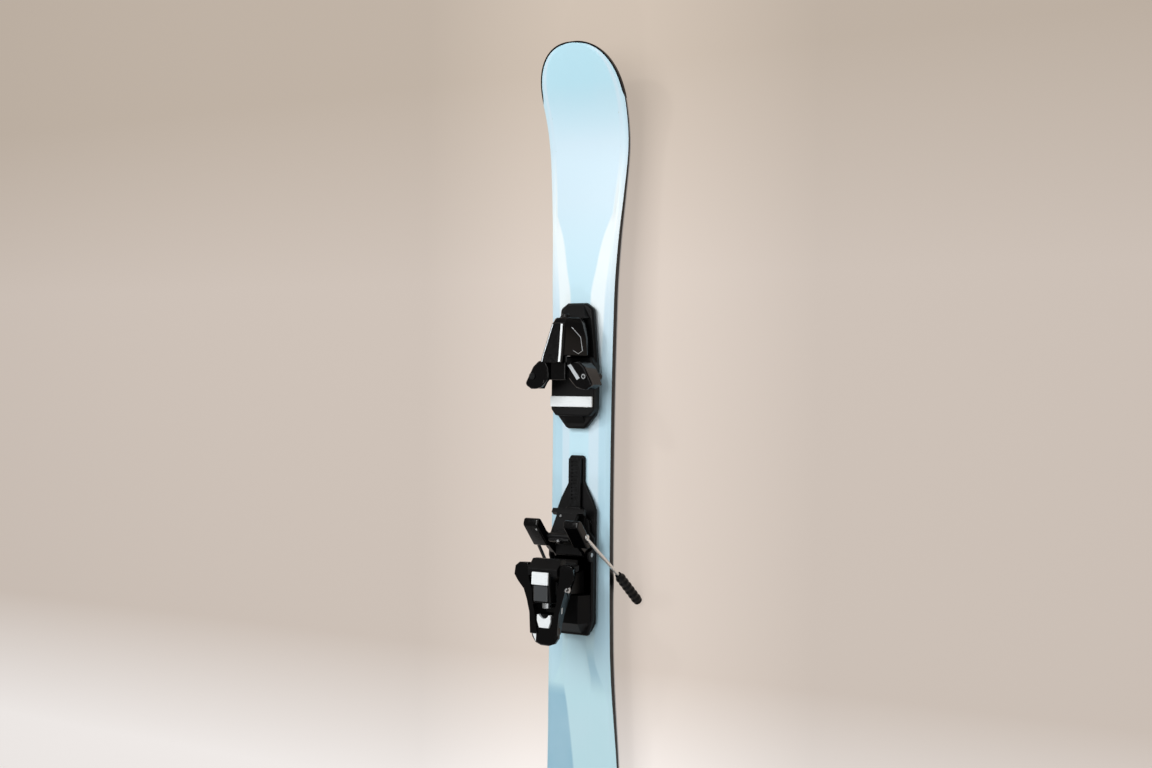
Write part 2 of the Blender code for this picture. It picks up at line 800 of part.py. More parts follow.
def end_guard(name, round_x, end_x, look):
    """The horseshoe-shaped rim of the tip or the tail, seen from above, as a skin over its own arc."""
    length = end_x - round_x
    forward = math.copysign(1, length)
    start_x = round_x + forward * GAP
    rings = []
    count = 2 * STATIONS_END
    for i in range(count + 1):
        angle = math.pi * (i / count - 0.5)
        side = math.sin(angle)
        reach = math.cos(angle)
        points = []
        for inset in (0.0, EDGE_WIDTH):
            x = start_x + (end_x - forward * (inset + 0.0001) - start_x) * reach
            # The last points lie on the middle line, where the arc is at its end.
            half = 0.0 if abs(side) < 1e-9 else half_width(x, inset)
            points.append((x, math.copysign(half, side)))
        (x_out, y_out), (x_in, y_in) = points
        rings.append(
            [
                (x_in, y_in, lift(x_in)),
                (x_out, y_out, lift(x_out)),
                (x_out, y_out, lift(x_out) + side_height(x_out)),
                (x_in, y_in, lift(x_in) + side_height(x_in)),
            ]
        )
    return loft(name, rings, look)


def screw_drills():
    """All eight screw holes of the ski as one cutter."""
    mesh = bmesh.new()
    top = DECK_Z + 0.004
    spots = [(x, y) for x in TOE_SCREW_X for y in (-TOE_SCREW_Y, TOE_SCREW_Y)]
    spots += [(x, y) for x in HEEL_SCREW_X for y in (-HEEL_SCREW_Y, HEEL_SCREW_Y)]
    for x, y in spots:
        middle = Matrix.Translation((x, y, (top + SCREW_HOLE_BOTTOM_Z) / 2))
        radius = SCREW_SHANK_RADIUS + GAP
        bmesh.ops.create_cone(
            mesh,
            cap_ends=True,
            segments=12,
            radius1=radius,
            radius2=radius,
            depth=top - SCREW_HOLE_BOTTOM_Z,
            matrix=middle,
        )
    return finish(mesh, "screw_drills", None)


def make_ski():
    end_gap = 0.0002 + END_INSET
    side_end = GAP / 2
    flat_layer(
        "base_sheet",
        TAIL_X + EDGE_WIDTH + end_gap,
        TIP_X - EDGE_WIDTH - end_gap,
        EDGE_WIDTH + LAYER_GAP,
        0,
        BASE_THICKNESS,
        BASE_BLACK,
    )
    laminate_low = BASE_THICKNESS + LAYER_GAP
    laminate_high = laminate_low + LAMINATE_THICKNESS
    flat_layer(
        "lower_laminate",
        TAIL_X + EDGE_WIDTH + end_gap,
        TIP_X - EDGE_WIDTH - end_gap,
        EDGE_WIDTH + LAYER_GAP,
        laminate_low,
        laminate_high,
        LAMINATE,
    )
    for name, side in (("left", 1), ("right", -1)):
        side_strip(f"edge_{name}", side, EDGE_WIDTH, 0, lambda x: EDGE_HEIGHT, STEEL)
        side_strip(f"sidewall_{name}", side, SIDEWALL_WIDTH, laminate_high + LAYER_GAP, side_height, SIDEWALL)
    end_guard("tip_guard", TIP_ROUND_X + side_end, TIP_X, SIDEWALL)
    end_guard("tail_guard", TAIL_ROUND_X - side_end, TAIL_X, SIDEWALL)
    core_top_drop = TOPSHEET_THICKNESS + LAMINATE_THICKNESS + 2 * LAYER_GAP
    core_bottom = laminate_high + LAYER_GAP
    core = top_layer(
        "core",
        TAIL_ROUND_X,
        TIP_ROUND_X,
        SIDEWALL_WIDTH + LAYER_GAP,
        core_top_drop,
        0,
        WOOD,
        core_bottom,
    )
    upper = top_layer(
        "upper_laminate",
        TAIL_X + LAMINATE_END,
        TIP_X - LAMINATE_END,
        SIDEWALL_WIDTH + LAYER_GAP,
        TOPSHEET_THICKNESS + LAYER_GAP,
        LAMINATE_THICKNESS,
        LAMINATE,
    )
    sheet = topsheet(TOPSHEET_BLUE)
    drills = screw_drills()
    for part in (core, upper, sheet):
        cut(part, drills)


# Mounting screws


def mounting_screw(name, x, y, head_top):
    head_foot = head_top - SCREW_HEAD_HEIGHT
    profile = (
        (0, SCREW_SHANK_RADIUS * 0.4),
        (SCREW_POINT_LENGTH, SCREW_SHANK_RADIUS),
        (head_foot - SCREW_CONE_HEIGHT - SCREW_TIP_Z, SCREW_SHANK_RADIUS),
        (head_foot - SCREW_TIP_Z, SCREW_HEAD_RADIUS),
        (head_top - SCREW_TIP_Z, SCREW_HEAD_RADIUS),
    )
    return turned(name, (x, y, SCREW_TIP_Z), (0, 0, 1), profile, STEEL, 12)


def drill_for_screw(part, name, x, y, head_top, top):
    """Cuts the clearance hole of a screw and the seat of its head."""
    low = PLATE_BOTTOM_Z - PAST
    head_foot = head_top - SCREW_HEAD_HEIGHT - GAP
    profile = (
        (0, SCREW_SHANK_RADIUS + GAP),
        (head_foot - SCREW_CONE_HEIGHT - low, SCREW_SHANK_RADIUS + GAP),
        (head_foot - low, SCREW_HEAD_RADIUS + GAP),
        (top + PAST - low, SCREW_HEAD_RADIUS + GAP),
    )
    return cut(part, turned(name, (x, y, low), (0, 0, 1), profile, None, 12))


# The toe piece


def both_sides(right_half):
    """A closed outline in X and Y from the points of its left half, front to rear."""
    return list(right_half) + [(x, -y) for x, y in reversed(right_half)]


def mirror_outline(outline, side):
    return [(x, side * y) for x, y in outline]


def arc_points(radius, start_y, end_y, count):
    """Points in front of the boot's round toe, from one Y to another."""
    found = []
    for i in range(count + 1):
        y = start_y + (end_y - start_y) * i / count
        found.append((BOOT_TOE_CENTRE_X + math.sqrt(radius**2 - y**2), y))
    return found


def make_toe_base():
    plate = both_sides(TOE_PLATE_PLAN)
    base = slab("toe_base", plate, PLATE_BOTTOM_Z, TOE_PLATE_TOP_Z, BLACK_MATTE)
    bevel(base, 0.0020)
    block = slab("toe_block", both_sides(TOE_BLOCK_PLAN), TOE_BLOCK_FOOT_Z, TOE_BLOCK_Z, None)
    join(base, bevel(block, 0.0012))
    slope_faces = (-TOE_REAR_SLOPE_HALF, TOE_REAR_SLOPE_HALF)
    join(base, side_slab("toe_rear_slope", TOE_REAR_SLOPE_VIEW, *slope_faces, None))
    nose = []
    for x, foot_half, top_half, top_z in TOE_NOSE_SECTIONS:
        foot = [(x, -foot_half, TOE_NOSE_FOOT_Z), (x, foot_half, TOE_NOSE_FOOT_Z)]
        nose.append(foot + [(x, top_half, top_z), (x, -top_half, top_z)])
    join(base, loft("toe_nose", nose, None))
    for side in (-1, 1):
        ear_start = (WING_PIVOT_X, side * WING_PIVOT_Y, EAR_BOTTOM_Z)
        ear_end = (WING_PIVOT_X, side * WING_PIVOT_Y, WING_BOTTOM_Z - 3 * GAP)
        join(base, rod(f"ear_{side}", ear_start, ear_end, EAR_RADIUS, None, 18))
        bridge_y = sorted((side * EAR_BRIDGE_Y, side * (WING_PIVOT_Y + 0.0002)))
        bridge_low = (WING_PIVOT_X - EAR_BRIDGE_HALF, bridge_y[0], EAR_BOTTOM_Z - 0.0010)
        bridge_high = (WING_PIVOT_X + EAR_BRIDGE_HALF, bridge_y[1], EAR_BRIDGE_TOP_Z)
        join(base, box(f"ear_bridge_{side}", bridge_low, bridge_high, None))
        hole = rod(
            f"wing_pin_hole_{side}",
            (WING_PIVOT_X, side * WING_PIVOT_Y, EAR_BOTTOM_Z - 5 * PAST),
            (WING_PIVOT_X, side * WING_PIVOT_Y, WING_BOTTOM_Z + PAST),
            WING_PIN_RADIUS + RUNNING_CLEARANCE,
            None,
            16,
        )
        cut(base, hole)
    for x in TOE_SCREW_X:
        for y in (-TOE_SCREW_Y, TOE_SCREW_Y):
            name = f"toe_drill_{x:.4f}_{y:.4f}"
            drill_for_screw(base, name, x, y, TOE_BLOCK_Z - 0.0020, TOE_BLOCK_Z)
    return base


def make_wing(name, side):
    """One wing: a wall in front of the boot's toe with a lip that reaches over the sole."""
    origin = (WING_PIVOT_X, side * WING_PIVOT_Y, 0.0)
    lip_outline = mirror_outline(WING_FRONT_PLAN + WING_TAIL_PLAN + WING_LIP_PLAN, side)
    wing = slab(name, lip_outline, WING_LIP_Z, WING_TOP_Z, BLACK_GLOSS, origin)
    bevel(wing, 0.0014)
    wall = [(x - WING_WALL_INSET, y + 0.0002) for x, y in WING_FRONT_PLAN[:2]]
    wall += [(x - WING_WALL_INSET, y) for x, y in WING_FRONT_PLAN[2:5]]
    wall.append(WING_WALL_END)
    wall += arc_points(BOOT_TOE_RADIUS, WING_WALL_OUTER_Y, WING_INNER_Y + GAP, 5)
    wall = mirror_outline(wall, side)
    join(wing, slab(f"{name}_wall", wall, WING_BOTTOM_Z, WING_WALL_TOP_Z, None))
    hole = rod(
        f"{name}_hole",
        (WING_PIVOT_X, side * WING_PIVOT_Y, WING_BOTTOM_Z - PAST),
        (WING_PIVOT_X, side * WING_PIVOT_Y, WING_TOP_Z + PAST),
        WING_PIN_RADIUS + RUNNING_CLEARANCE,
        None,
        16,
    )
    return cut(wing, hole)


def make_toe_housing():
    rings = []
    for x, bottom_half, waist_half, top_half, waist_z, top_z in HOUSING_SECTIONS:
        right = [(bottom_half, HOUSING_BOTTOM_Z), (waist_half, waist_z), (top_half, top_z)]
        ring = [(x, -y, z) for y, z in right]
        ring += [(x, y, z) for y, z in reversed(right)]
        rings.append(ring)
    housing = bevel(loft("toe_housing", rings, BLACK_GLOSS), 0.0008)
    foot = both_sides(HOUSING_FOOT_PLAN)
    join(housing, slab("toe_foot", foot, HOUSING_FOOT_Z, HOUSING_BOTTOM_Z + PAST, None))
    bore_start = (HOUSING_REAR_X - PAST, 0, TOE_BORE_Z)
    bore_end = (TOE_BORE_FRONT_X, 0, TOE_BORE_Z)
    cut(housing, rod("toe_bore", bore_start, bore_end, TOE_BORE_RADIUS, None, 24))
    shank_radius = SETTING_SHANK_RADIUS + RUNNING_CLEARANCE
    shank_start = (TOE_BORE_FRONT_X - 0.0030, 0, TOE_BORE_Z)
    shank_end = (HOUSING_FRONT_X + 0.0050, 0, TOE_BORE_Z)
    cut(housing, rod("toe_screw_bore", shank_start, shank_end, shank_radius, None, 16))
    stop_rear = BOOT_TOE_CENTRE_X + math.sqrt(BOOT_TOE_RADIUS**2 - TOE_STOP_HALF**2)
    lid_low = (TOE_STOP_REAR_X, -TOE_STOP_HALF, TOE_LID_Z)
    lid_high = (HOUSING_REAR_X + PAST, TOE_STOP_HALF, WING_TOP_Z)
    join(housing, bevel(box("toe_lid", lid_low, lid_high, None), 0.0008))
    wall_low = (stop_rear, -TOE_STOP_HALF + GAP, WING_BOTTOM_Z)
    wall_high = (TOE_STOP_FRONT_X, TOE_STOP_HALF - GAP, WING_WALL_TOP_Z)
    join(housing, box("toe_stop", wall_low, wall_high, None))
    return cut(housing, box("nose_relief", *NOSE_RELIEF, None))


def make_toe_cover():
    rings = []
    for x, half, z in COVER_SECTIONS:
        low = z + GAP + RUNNING_CLEARANCE
        high = low + COVER_THICKNESS
        narrow = half * COVER_TAPER
        rings.append([(x, -half, low), (x, half, low), (x, narrow, high), (x, -narrow, high)])
    return bevel(loft("toe_cover", rings, BLACK_GLOSS), 0.0005)


def make_toe_mechanism():
    spring(
        "toe_spring",
        TOE_BORE_Z,
        TOE_SPRING_REAR_X,
        TOE_SPRING_FRONT_X,
        TOE_SPRING_RADIUS,
        TOE_SPRING_WIRE,
        TOE_SPRING_CURLS,
        STEEL,
    )
    piston_start = (PISTON_X, 0, TOE_BORE_Z)
    turned("toe_piston", piston_start, (1, 0, 0), PISTON_PROFILE, STEEL, 20)
    nut_start = (NUT_X, 0, TOE_BORE_Z)
    nut_profile = ((0, NUT_RADIUS), (NUT_LENGTH, NUT_RADIUS))
    nut = turned("toe_spring_nut", nut_start, (1, 0, 0), nut_profile, BRASS, 20, nut_start)
    bore_start = (NUT_X - PAST, 0, TOE_BORE_Z)
    bore_end = (NUT_X + NUT_LENGTH + PAST, 0, TOE_BORE_Z)
    bore_radius = SETTING_SHANK_RADIUS + RUNNING_CLEARANCE
    cut(nut, rod("toe_nut_bore", bore_start, bore_end, bore_radius, None, 16))
    start = (SETTING_SCREW_X, 0, TOE_BORE_Z)
    screw = turned("toe_setting_screw", start, (1, 0, 0), SETTING_SCREW_PROFILE, STEEL, 16, start)
    slot_low = (SLOT_FLOOR_X, -0.0060, TOE_BORE_Z - SLOT_HALF)
    slot_high = (SLOT_FLOOR_X + 0.0030, 0.0060, TOE_BORE_Z + SLOT_HALF)
    cut(screw, box("toe_screw_slot", slot_low, slot_high, None))


def make_toe_piece():
    make_toe_base()
    rest_low = TOE_BLOCK_Z + GAP
    rest = box("toe_rest", (REST_REAR_X, -REST_HALF, rest_low), (REST_FRONT_X, REST_HALF, REST_Z), WHITE)
    bevel(rest, 0.0005)
    make_toe_housing()
    make_toe_cover()
    make_toe_mechanism()
    for name, side in (("left", 1), ("right", -1)):
        make_wing(f"wing_{name}", side)
        low = (WING_PIVOT_X, side * WING_PIVOT_Y, EAR_BOTTOM_Z + GAP)
        head_start = WING_TOP_Z - EAR_BOTTOM_Z
        profile = (
            (0, WING_PIN_RADIUS),
            (head_start, WING_PIN_RADIUS),
            (head_start + 0.0001, WING_PIN_RADIUS + WING_PIN_HEAD),
            (head_start + 0.0010, WING_PIN_RADIUS + WING_PIN_HEAD),
        )
        turned(f"wing_pin_{name}", low, (0, 0, 1), profile, STEEL, 16)
    for i, x in enumerate(TOE_SCREW_X):
        for name, side in (("left", 1), ("right", -1)):
            row = "rear" if i else "front"
            mounting_screw(f"toe_screw_{row}_{name}", x, side * TOE_SCREW_Y, TOE_BLOCK_Z - 0.0020)


# The heel piece


def make_track():
    outline = both_sides(TRACK_PLAN)
    track = bevel(slab("heel_track", outline, PLATE_BOTTOM_Z, TRACK_TOP_Z, BLACK_MATTE), 0.0010)
    for x in HEEL_SCREW_X:
        for y in (-HEEL_SCREW_Y, HEEL_SCREW_Y):
            name = f"heel_drill_{x:.4f}_{y:.4f}"
            drill_for_screw(track, name, x, y, TRACK_TOP_Z - 0.0001, TRACK_TOP_Z)
    return track


def make_rail():
    """The T-shaped rail that the carriage slides on, with the teeth of its length setting in the tongue."""
    section = both_sides(
        (
            (TRACK_TOP_Z + GAP, RAIL_NECK_HALF),
            (RAIL_LIP_BOTTOM_Z, RAIL_NECK_HALF),
            (RAIL_LIP_BOTTOM_Z, RAIL_LIP_HALF),
            (RAIL_TOP_Z, RAIL_LIP_HALF),
        )
    )
    rings = [[(x, y, z) for z, y in section] for x in (TRACK_REAR_X + 0.0080, TONGUE_FRONT_X - 0.0035)]
    rail = loft("heel_rail", rings, STEEL)
    mesh = bmesh.new()
    for i in range(RAIL_NOTCHES):
        x = TONGUE_FRONT_X - 0.0075 - i * RAIL_PITCH
        middle = Matrix.Translation((x, 0, RAIL_TOP_Z))
        size = Matrix.Diagonal((*RAIL_NOTCH, 1))
        bmesh.ops.create_cube(mesh, size=1, matrix=middle @ size)
    return cut(rail, finish(mesh, "rail_notches", None))


def make_carriage():
    plan = both_sides(CARRIAGE_PLAN)
    low = TRACK_TOP_Z + 0.0005
    carriage = bevel(slab("heel_carriage", plan, low, CARRIAGE_FLOOR_Z, BLACK_MATTE), 0.0012)
    rear = []
    for x, foot_half, foot_z, top_half, top_z in CARRIAGE_REAR_SECTIONS:
        foot = [(x, -foot_half, foot_z), (x, foot_half, foot_z)]
        rear.append(foot + [(x, top_half, top_z), (x, -top_half, top_z)])
    join(carriage, loft("carriage_rear", rear, None))
    pad = both_sides(((HEEL_REST_FRONT_X, HEEL_REST_HALF), (HEEL_REST_REAR_X, HEEL_REST_HALF)))
    pad_low = CARRIAGE_FLOOR_Z - PAST
    join(carriage, bevel(slab("carriage_pad", pad, pad_low, HEEL_REST_Z, None), 0.0010))
    for side in (-1, 1):
        cheek_faces = sorted((side * CHEEK_INNER_Y, side * CHEEK_OUTER_Y))
        join(carriage, side_slab(f"cheek_{side}", CHEEK_VIEW, *cheek_faces, None))
        bracket_faces = sorted((side * BRACKET_INNER_Y, side * CARRIAGE_HALF))
        join(carriage, side_slab(f"arm_bracket_{side}", BRACKET_VIEW, *bracket_faces, None))
        leg_y = sorted((side * (SHOE_LEG_INNER_Y - 0.0005), side * (SHOE_LEG_OUTER_Y + 0.0005)))
        leg_low = (ARM_PIVOT_X - 0.0105, leg_y[0], 0.0210)
        leg_high = (ARM_PIVOT_X + 0.0110, leg_y[1], 0.0400)
        cut(carriage, box(f"leg_room_{side}", leg_low, leg_high, None))
        shoe_y = sorted((side * (SHOE_INNER_Y - MOVING_GAP), side * 0.0300))
        shoe_low = (ARM_PIVOT_X + 0.0105, shoe_y[0], 0.0232)
        shoe_high = (CARRIAGE_FRONT_X + 0.0065, shoe_y[1], 0.0400)
        cut(carriage, box(f"shoe_room_{side}", shoe_low, shoe_high, None))
    hole_radius = PIVOT_RADIUS + RUNNING_CLEARANCE
    hole_ends = [(PIVOT_X, y, PIVOT_Z) for y in (-0.040, 0.040)]
    cut(carriage, rod("pivot_hole", *hole_ends, hole_radius, None, 20))
    for side in (-1, 1):
        ends = [(ARM_PIVOT_X, side * y, ARM_PIVOT_Z) for y in (0.0134, 0.0310)]
        pin_radius = ARM_PIN_RADIUS + RUNNING_CLEARANCE
        cut(carriage, rod(f"arm_hole_{side}", *ends, pin_radius, None, 16))
    section = both_sides(
        (
            (TRACK_TOP_Z - 0.001, RAIL_NECK_HALF + MOVING_GAP),
            (RAIL_LIP_BOTTOM_Z - MOVING_GAP, RAIL_NECK_HALF + MOVING_GAP),
            (RAIL_LIP_BOTTOM_Z - MOVING_GAP, RAIL_LIP_HALF + MOVING_GAP),
            (RAIL_TOP_Z + MOVING_GAP, RAIL_LIP_HALF + MOVING_GAP),
        )
    )
    ends = (CARRIAGE_REAR_X - 5 * PAST, CARRIAGE_FRONT_X + 5 * PAST)
    channel = loft("rail_channel", [[(x, y, z) for z, y in section] for x in ends], None)
    cut(carriage, channel)
    bore_start = (PRESSURE_BORE_FRONT_X, 0, PRESSURE_BORE_Z)
    bore_end = (PRESSURE_BORE_REAR_X, 0, PRESSURE_BORE_Z)
    return cut(carriage, rod("pressure_bore", bore_start, bore_end, PRESSURE_BORE_RADIUS, None, 20))


def make_cup():
    """The heel cup: the spring's block, the wall behind the boot, its lip and its treadle."""
    origin = (PIVOT_X, 0, PIVOT_Z)
    cup = side_slab("heel_cup", CUP_VIEW, -CUP_HALF, CUP_HALF, BLACK_MATTE, origin)
    bevel(cup, 0.0010)
    join(cup, side_slab("cup_wall", CUP_WALL_VIEW, -CUP_WALL_HALF, CUP_WALL_HALF, None))
    join(cup, side_slab("cup_treadle", TREADLE_VIEW, -TREADLE_HALF, TREADLE_HALF, None))
    hole_radius = PIVOT_RADIUS + RUNNING_CLEARANCE
    for side in (-1, 1):
        start = (PIVOT_X, side * (PIVOT_INNER_Y - GAP), PIVOT_Z)
        end = (PIVOT_X, side * 0.0300, PIVOT_Z)
        cut(cup, rod(f"pivot_hole_cup_{side}", start, end, hole_radius, None, 20))
    bore_start = (-0.1400, 0, HEEL_BORE_Z)
    bore_end = (HEEL_BORE_END_X, 0, HEEL_BORE_Z)
    cut(cup, rod("heel_bore", bore_start, bore_end, HEEL_BORE_RADIUS, None, 20))
    seat_low = (WINDOW_REAR_X - GAP, -WINDOW_HALF - GAP, WINDOW_FLOOR_Z)
    seat_high = (WINDOW_FRONT_X + GAP, WINDOW_HALF + GAP, CUP_TOP_Z + 2 * PAST)
    return cut(cup, box("window_seat", seat_low, seat_high, None))


def arm_ring(x, inner, outer_low, outer, low, high, side):
    return [(x, side * y, z) for y, z in ((inner, low), (outer_low, low), (outer, high), (inner, high))]


def make_lever():
    """The X-shaped frame: two horns, two arms beside the spring's block, and the handle."""
    origin = (PIVOT_X, 0, PIVOT_Z)
    left, right = ([arm_ring(*row, side) for row in LEVER_SECTIONS] for side in (1, -1))
    lever = loft("heel_lever", left, BLACK_GLOSS, origin)
    join(lever, loft("lever_right_arm", right, None))
    handle = slab("lever_handle", both_sides(HANDLE_PLAN), HANDLE_LOW_Z, HANDLE_TOP_Z, None)
    join(lever, bevel(handle, 0.0016))
    join(lever, slab("lever_web", both_sides(WEB_PLAN), WEB_LOW_Z, WEB_TOP_Z, None))
    hole_radius = PIVOT_RADIUS + RUNNING_CLEARANCE
    hole_ends = [(PIVOT_X, y, PIVOT_Z) for y in (-0.040, 0.040)]
    cut(lever, rod("pivot_hole_lever", *hole_ends, hole_radius, None, 20))
    return cut(lever, box("trim_seat", *TRIM_SEAT, None))


def make_heel_mechanism():
    spring(
        "heel_spring",
        HEEL_BORE_Z,
        HEEL_SCREW_X_START + GAP,
        HEEL_BORE_END_X - GAP,
        HEEL_SPRING_RADIUS,
        HEEL_SPRING_WIRE,
        HEEL_SPRING_CURLS,
        STEEL,
    )
    spring(
        "pressure_spring",
        PRESSURE_BORE_Z,
        PRESSURE_BORE_REAR_X + 0.0005,
        PRESSURE_SPRING_FRONT_X,
        PRESSURE_SPRING_RADIUS,
        PRESSURE_SPRING_WIRE,
        PRESSURE_SPRING_CURLS,
        STEEL,
    )


def make_heel_screw():
    start = (HEEL_SCREW_X_START, 0, HEEL_BORE_Z)
    screw = turned("heel_setting_screw", start, (-1, 0, 0), HEEL_SCREW_PROFILE, STEEL, 18, start)
    slot_low = (HEEL_SLOT_FLOOR_X - 0.0035, -0.0070, HEEL_BORE_Z - SLOT_HALF)
    slot_high = (HEEL_SLOT_FLOOR_X, 0.0070, HEEL_BORE_Z + SLOT_HALF)
    return cut(screw, box("heel_screw_slot", slot_low, slot_high, None))


def make_heel_trims():
    pivot = (PIVOT_X, 0, PIVOT_Z)
    mark_low = (-0.1275, -0.0030, WINDOW_FLOOR_Z + GAP)
    mark_high = (-0.1255, 0.0030, WINDOW_LOW_Z - GAP)
    box("heel_setting_mark", mark_low, mark_high, WHITE, pivot)
    window_low = (WINDOW_REAR_X, -WINDOW_HALF, WINDOW_LOW_Z)
    window_high = (WINDOW_FRONT_X, WINDOW_HALF, WINDOW_TOP_Z)
    bevel(box("heel_window", window_low, window_high, WINDOW, pivot), 0.0005)
    faces = (-FRONT_TRIM_HALF, FRONT_TRIM_HALF)
    bevel(side_slab("heel_front_trim", FRONT_TRIM_VIEW, *faces, WHITE, pivot), 0.0004)
    trim = slab("lever_trim", both_sides(TRIM_PLAN), TRIM_LOW_Z, TRIM_TOP_Z, WHITE, pivot)
    dip_ends = [(TRIM_DIP_X, 0, z) for z in (TRIM_LOW_Z - PAST, TRIM_TOP_Z + PAST)]
    return cut(trim, rod("trim_dip", *dip_ends, TRIM_DIP_RADIUS, None, 16))


def make_heel_piece():
    make_track()
    make_rail()
    make_carriage()
    make_cup()
    make_lever()
    make_heel_mechanism()
    make_heel_screw()
    make_heel_trims()
    for name, side in (("left", 1), ("right", -1)):
        start = (PIVOT_X, side * PIVOT_INNER_Y, PIVOT_Z)
        end = (PIVOT_X, side * PIVOT_OUTER_Y, PIVOT_Z)
        rod(f"heel_pin_{name}", start, end, PIVOT_RADIUS, STEEL, 20)
    for i, x in enumerate(HEEL_SCREW_X):
        for name, side in (("left", 1), ("right", -1)):
            row = "rear" if i else "front"
            mounting_screw(f"heel_screw_{row}_{name}", x, side * HEEL_SCREW_Y, TRACK_TOP_Z - 0.0001)


# The brake


def arm_points(side):
    """The middle line of one wire arm, from its end in the pedal to its end in the claw."""
    inner = Vector((ARM_TOP_X, side * WIRE_INNER_Y, ARM_TOP_Z))
    top = Vector((ARM_TOP_X, side * ARM_TOP_Y, ARM_TOP_Z))
    start = Vector((CLAW_START[0], side * CLAW_START[1], CLAW_START[2]))
    end = Vector((CLAW_END[0], side * CLAW_END[1], CLAW_END[2]))
    before = top - Vector((0, side * BEND_ROUNDING, 0))
    after = top + (start - top).normalized() * BEND_ROUNDING
    points = [inner, before]
    for t in (0.25, 0.5, 0.75):
        points.append(before * (1 - t) ** 2 + top * 2 * t * (1 - t) + after * t * t)
    points += [after, start, start + (end - start) * 0.82]
    return points


def make_arm(name, side):
    pivot = (ARM_PIVOT_X, 0, ARM_PIVOT_Z)
    bend = {2: BEND_SWELL, 3: BEND_SWELL, 4: BEND_SWELL}
    wire(f"brake_arm_{name}", arm_points(side), WIRE_RADIUS, STEEL, pivot, swells=bend)
    start = Vector((CLAW_START[0], side * CLAW_START[1], CLAW_START[2]))
    end = Vector((CLAW_END[0], side * CLAW_END[1], CLAW_END[2]))
    along = end - start
    length = along.length
    profile = [(0, CLAW_NECK_RADIUS)]
    for i in range(CLAW_RIBS):
        low = length * (0.06 + 0.90 * i / CLAW_RIBS)
        profile += [(low, CLAW_ROOT_RADIUS), (low + 0.0026, CLAW_RIB_RADIUS)]
        profile += [(low + 0.0050, CLAW_RIB_RADIUS), (low + 0.0062, CLAW_VALLEY_RADIUS)]
    profile += [(length * 0.98, CLAW_END_RADIUS), (length, CLAW_NECK_RADIUS)]
    claw = turned(f"brake_claw_{name}", start, along, profile, BLACK_MATTE, 14, pivot)
    bore_start = start - along.normalized() * PAST
    bore = rod(f"claw_bore_{name}", bore_start, start + along * 0.84, WIRE_RADIUS + GAP, None, 14)
    cut(claw, bore)
    # The wire comes in at a slight angle, so the mouth of the bore is wider.
    mouth = ((0, WIRE_RADIUS + 3 * GAP), (0.0040, WIRE_RADIUS + GAP))
    cut(claw, turned(f"claw_mouth_{name}", start - along.normalized() * 0.0010, along, mouth, None, 14))


def shoe_point(along, out):
    """A point of the shoe in X and Z: along its slope from its middle towards the tip, and out from it."""
    c = math.cos(SHOE_ANGLE)
    s = math.sin(SHOE_ANGLE)
    return SHOE_MIDDLE[0] + along * c - out * s, SHOE_MIDDLE[1] + along * s + out * c


def make_shoe(name, side):
    """The block that joins one wire arm to its pivot, and that the boot presses down."""
    pivot = (ARM_PIVOT_X, 0, ARM_PIVOT_Z)
    long = SHOE_HALF_LENGTH
    thick = SHOE_HALF_THICKNESS
    outline = [
        shoe_point(*p)
        for p in (
            (-long, -0.5 * thick),
            (-0.7 * long, -thick),
            (0.8 * long, -thick),
            (long, -0.2 * thick),
            (0.8 * long, thick),
            (-0.8 * long, thick),
            (-long, 0.5 * thick),
        )
    ]
    faces = sorted((side * SHOE_INNER_Y, side * SHOE_OUTER_Y))
    shoe = bevel(side_slab(f"brake_shoe_{name}", outline, *faces, BLACK_MATTE, pivot), 0.0020, 2)
    leg_faces = sorted((side * SHOE_LEG_INNER_Y, side * SHOE_LEG_OUTER_Y))
    join(shoe, side_slab(f"shoe_leg_{name}", LEG_VIEW, *leg_faces, None))
    boss = rod(
        f"shoe_boss_{name}",
        (ARM_TOP_X, side * (SHOE_INNER_Y + GAP), ARM_TOP_Z),
        (ARM_TOP_X, side * SHOE_BOSS_END_Y, ARM_TOP_Z),
        SHOE_BOSS_RADIUS,
        None,
        16,
    )
    join(shoe, boss)
    wire_hole = rod(
        f"shoe_wire_hole_{name}",
        (ARM_TOP_X, side * (SHOE_INNER_Y - PAST), ARM_TOP_Z),
        (ARM_TOP_X, side * (ARM_TOP_Y + 0.003), ARM_TOP_Z),
        WIRE_RADIUS + GAP,
        None,
        16,
    )
    cut(shoe, wire_hole)
    top = Vector((ARM_TOP_X, side * ARM_TOP_Y, ARM_TOP_Z))
    start = Vector((CLAW_START[0], side * CLAW_START[1], CLAW_START[2]))
    down = (start - top).normalized()
    room_radius = WIRE_RADIUS + 2 * GAP
    wire_room = rod(f"shoe_wire_room_{name}", top + down * 0.001, top + down * 0.03, room_radius, None, 16)
    cut(shoe, wire_room)
    room = rod(
        f"shoe_bend_room_{name}",
        (ARM_TOP_X, side * (SHOE_BOSS_END_Y + 0.0002), ARM_TOP_Z),
        (ARM_TOP_X, side * (SHOE_OUTER_Y + 0.0045), ARM_TOP_Z),
        BEND_ROOM_RADIUS,
        None,
        16,
    )
    cut(shoe, room)
    pin_hole = rod(
        f"shoe_pin_hole_{name}",
        (ARM_PIVOT_X, side * 0.0100, ARM_PIVOT_Z),
        (ARM_PIVOT_X, side * 0.0300, ARM_PIVOT_Z),
        ARM_PIN_RADIUS + RUNNING_CLEARANCE,
        None,
        16,
    )
    cut(shoe, pin_hole)
    start = (ARM_PIVOT_X, side * 0.0137, ARM_PIVOT_Z)
    end = (ARM_PIVOT_X, side * (CARRIAGE_HALF - 0.0002), ARM_PIVOT_Z)
    rod(f"brake_pin_{name}", start, end, ARM_PIN_RADIUS, STEEL, 16)


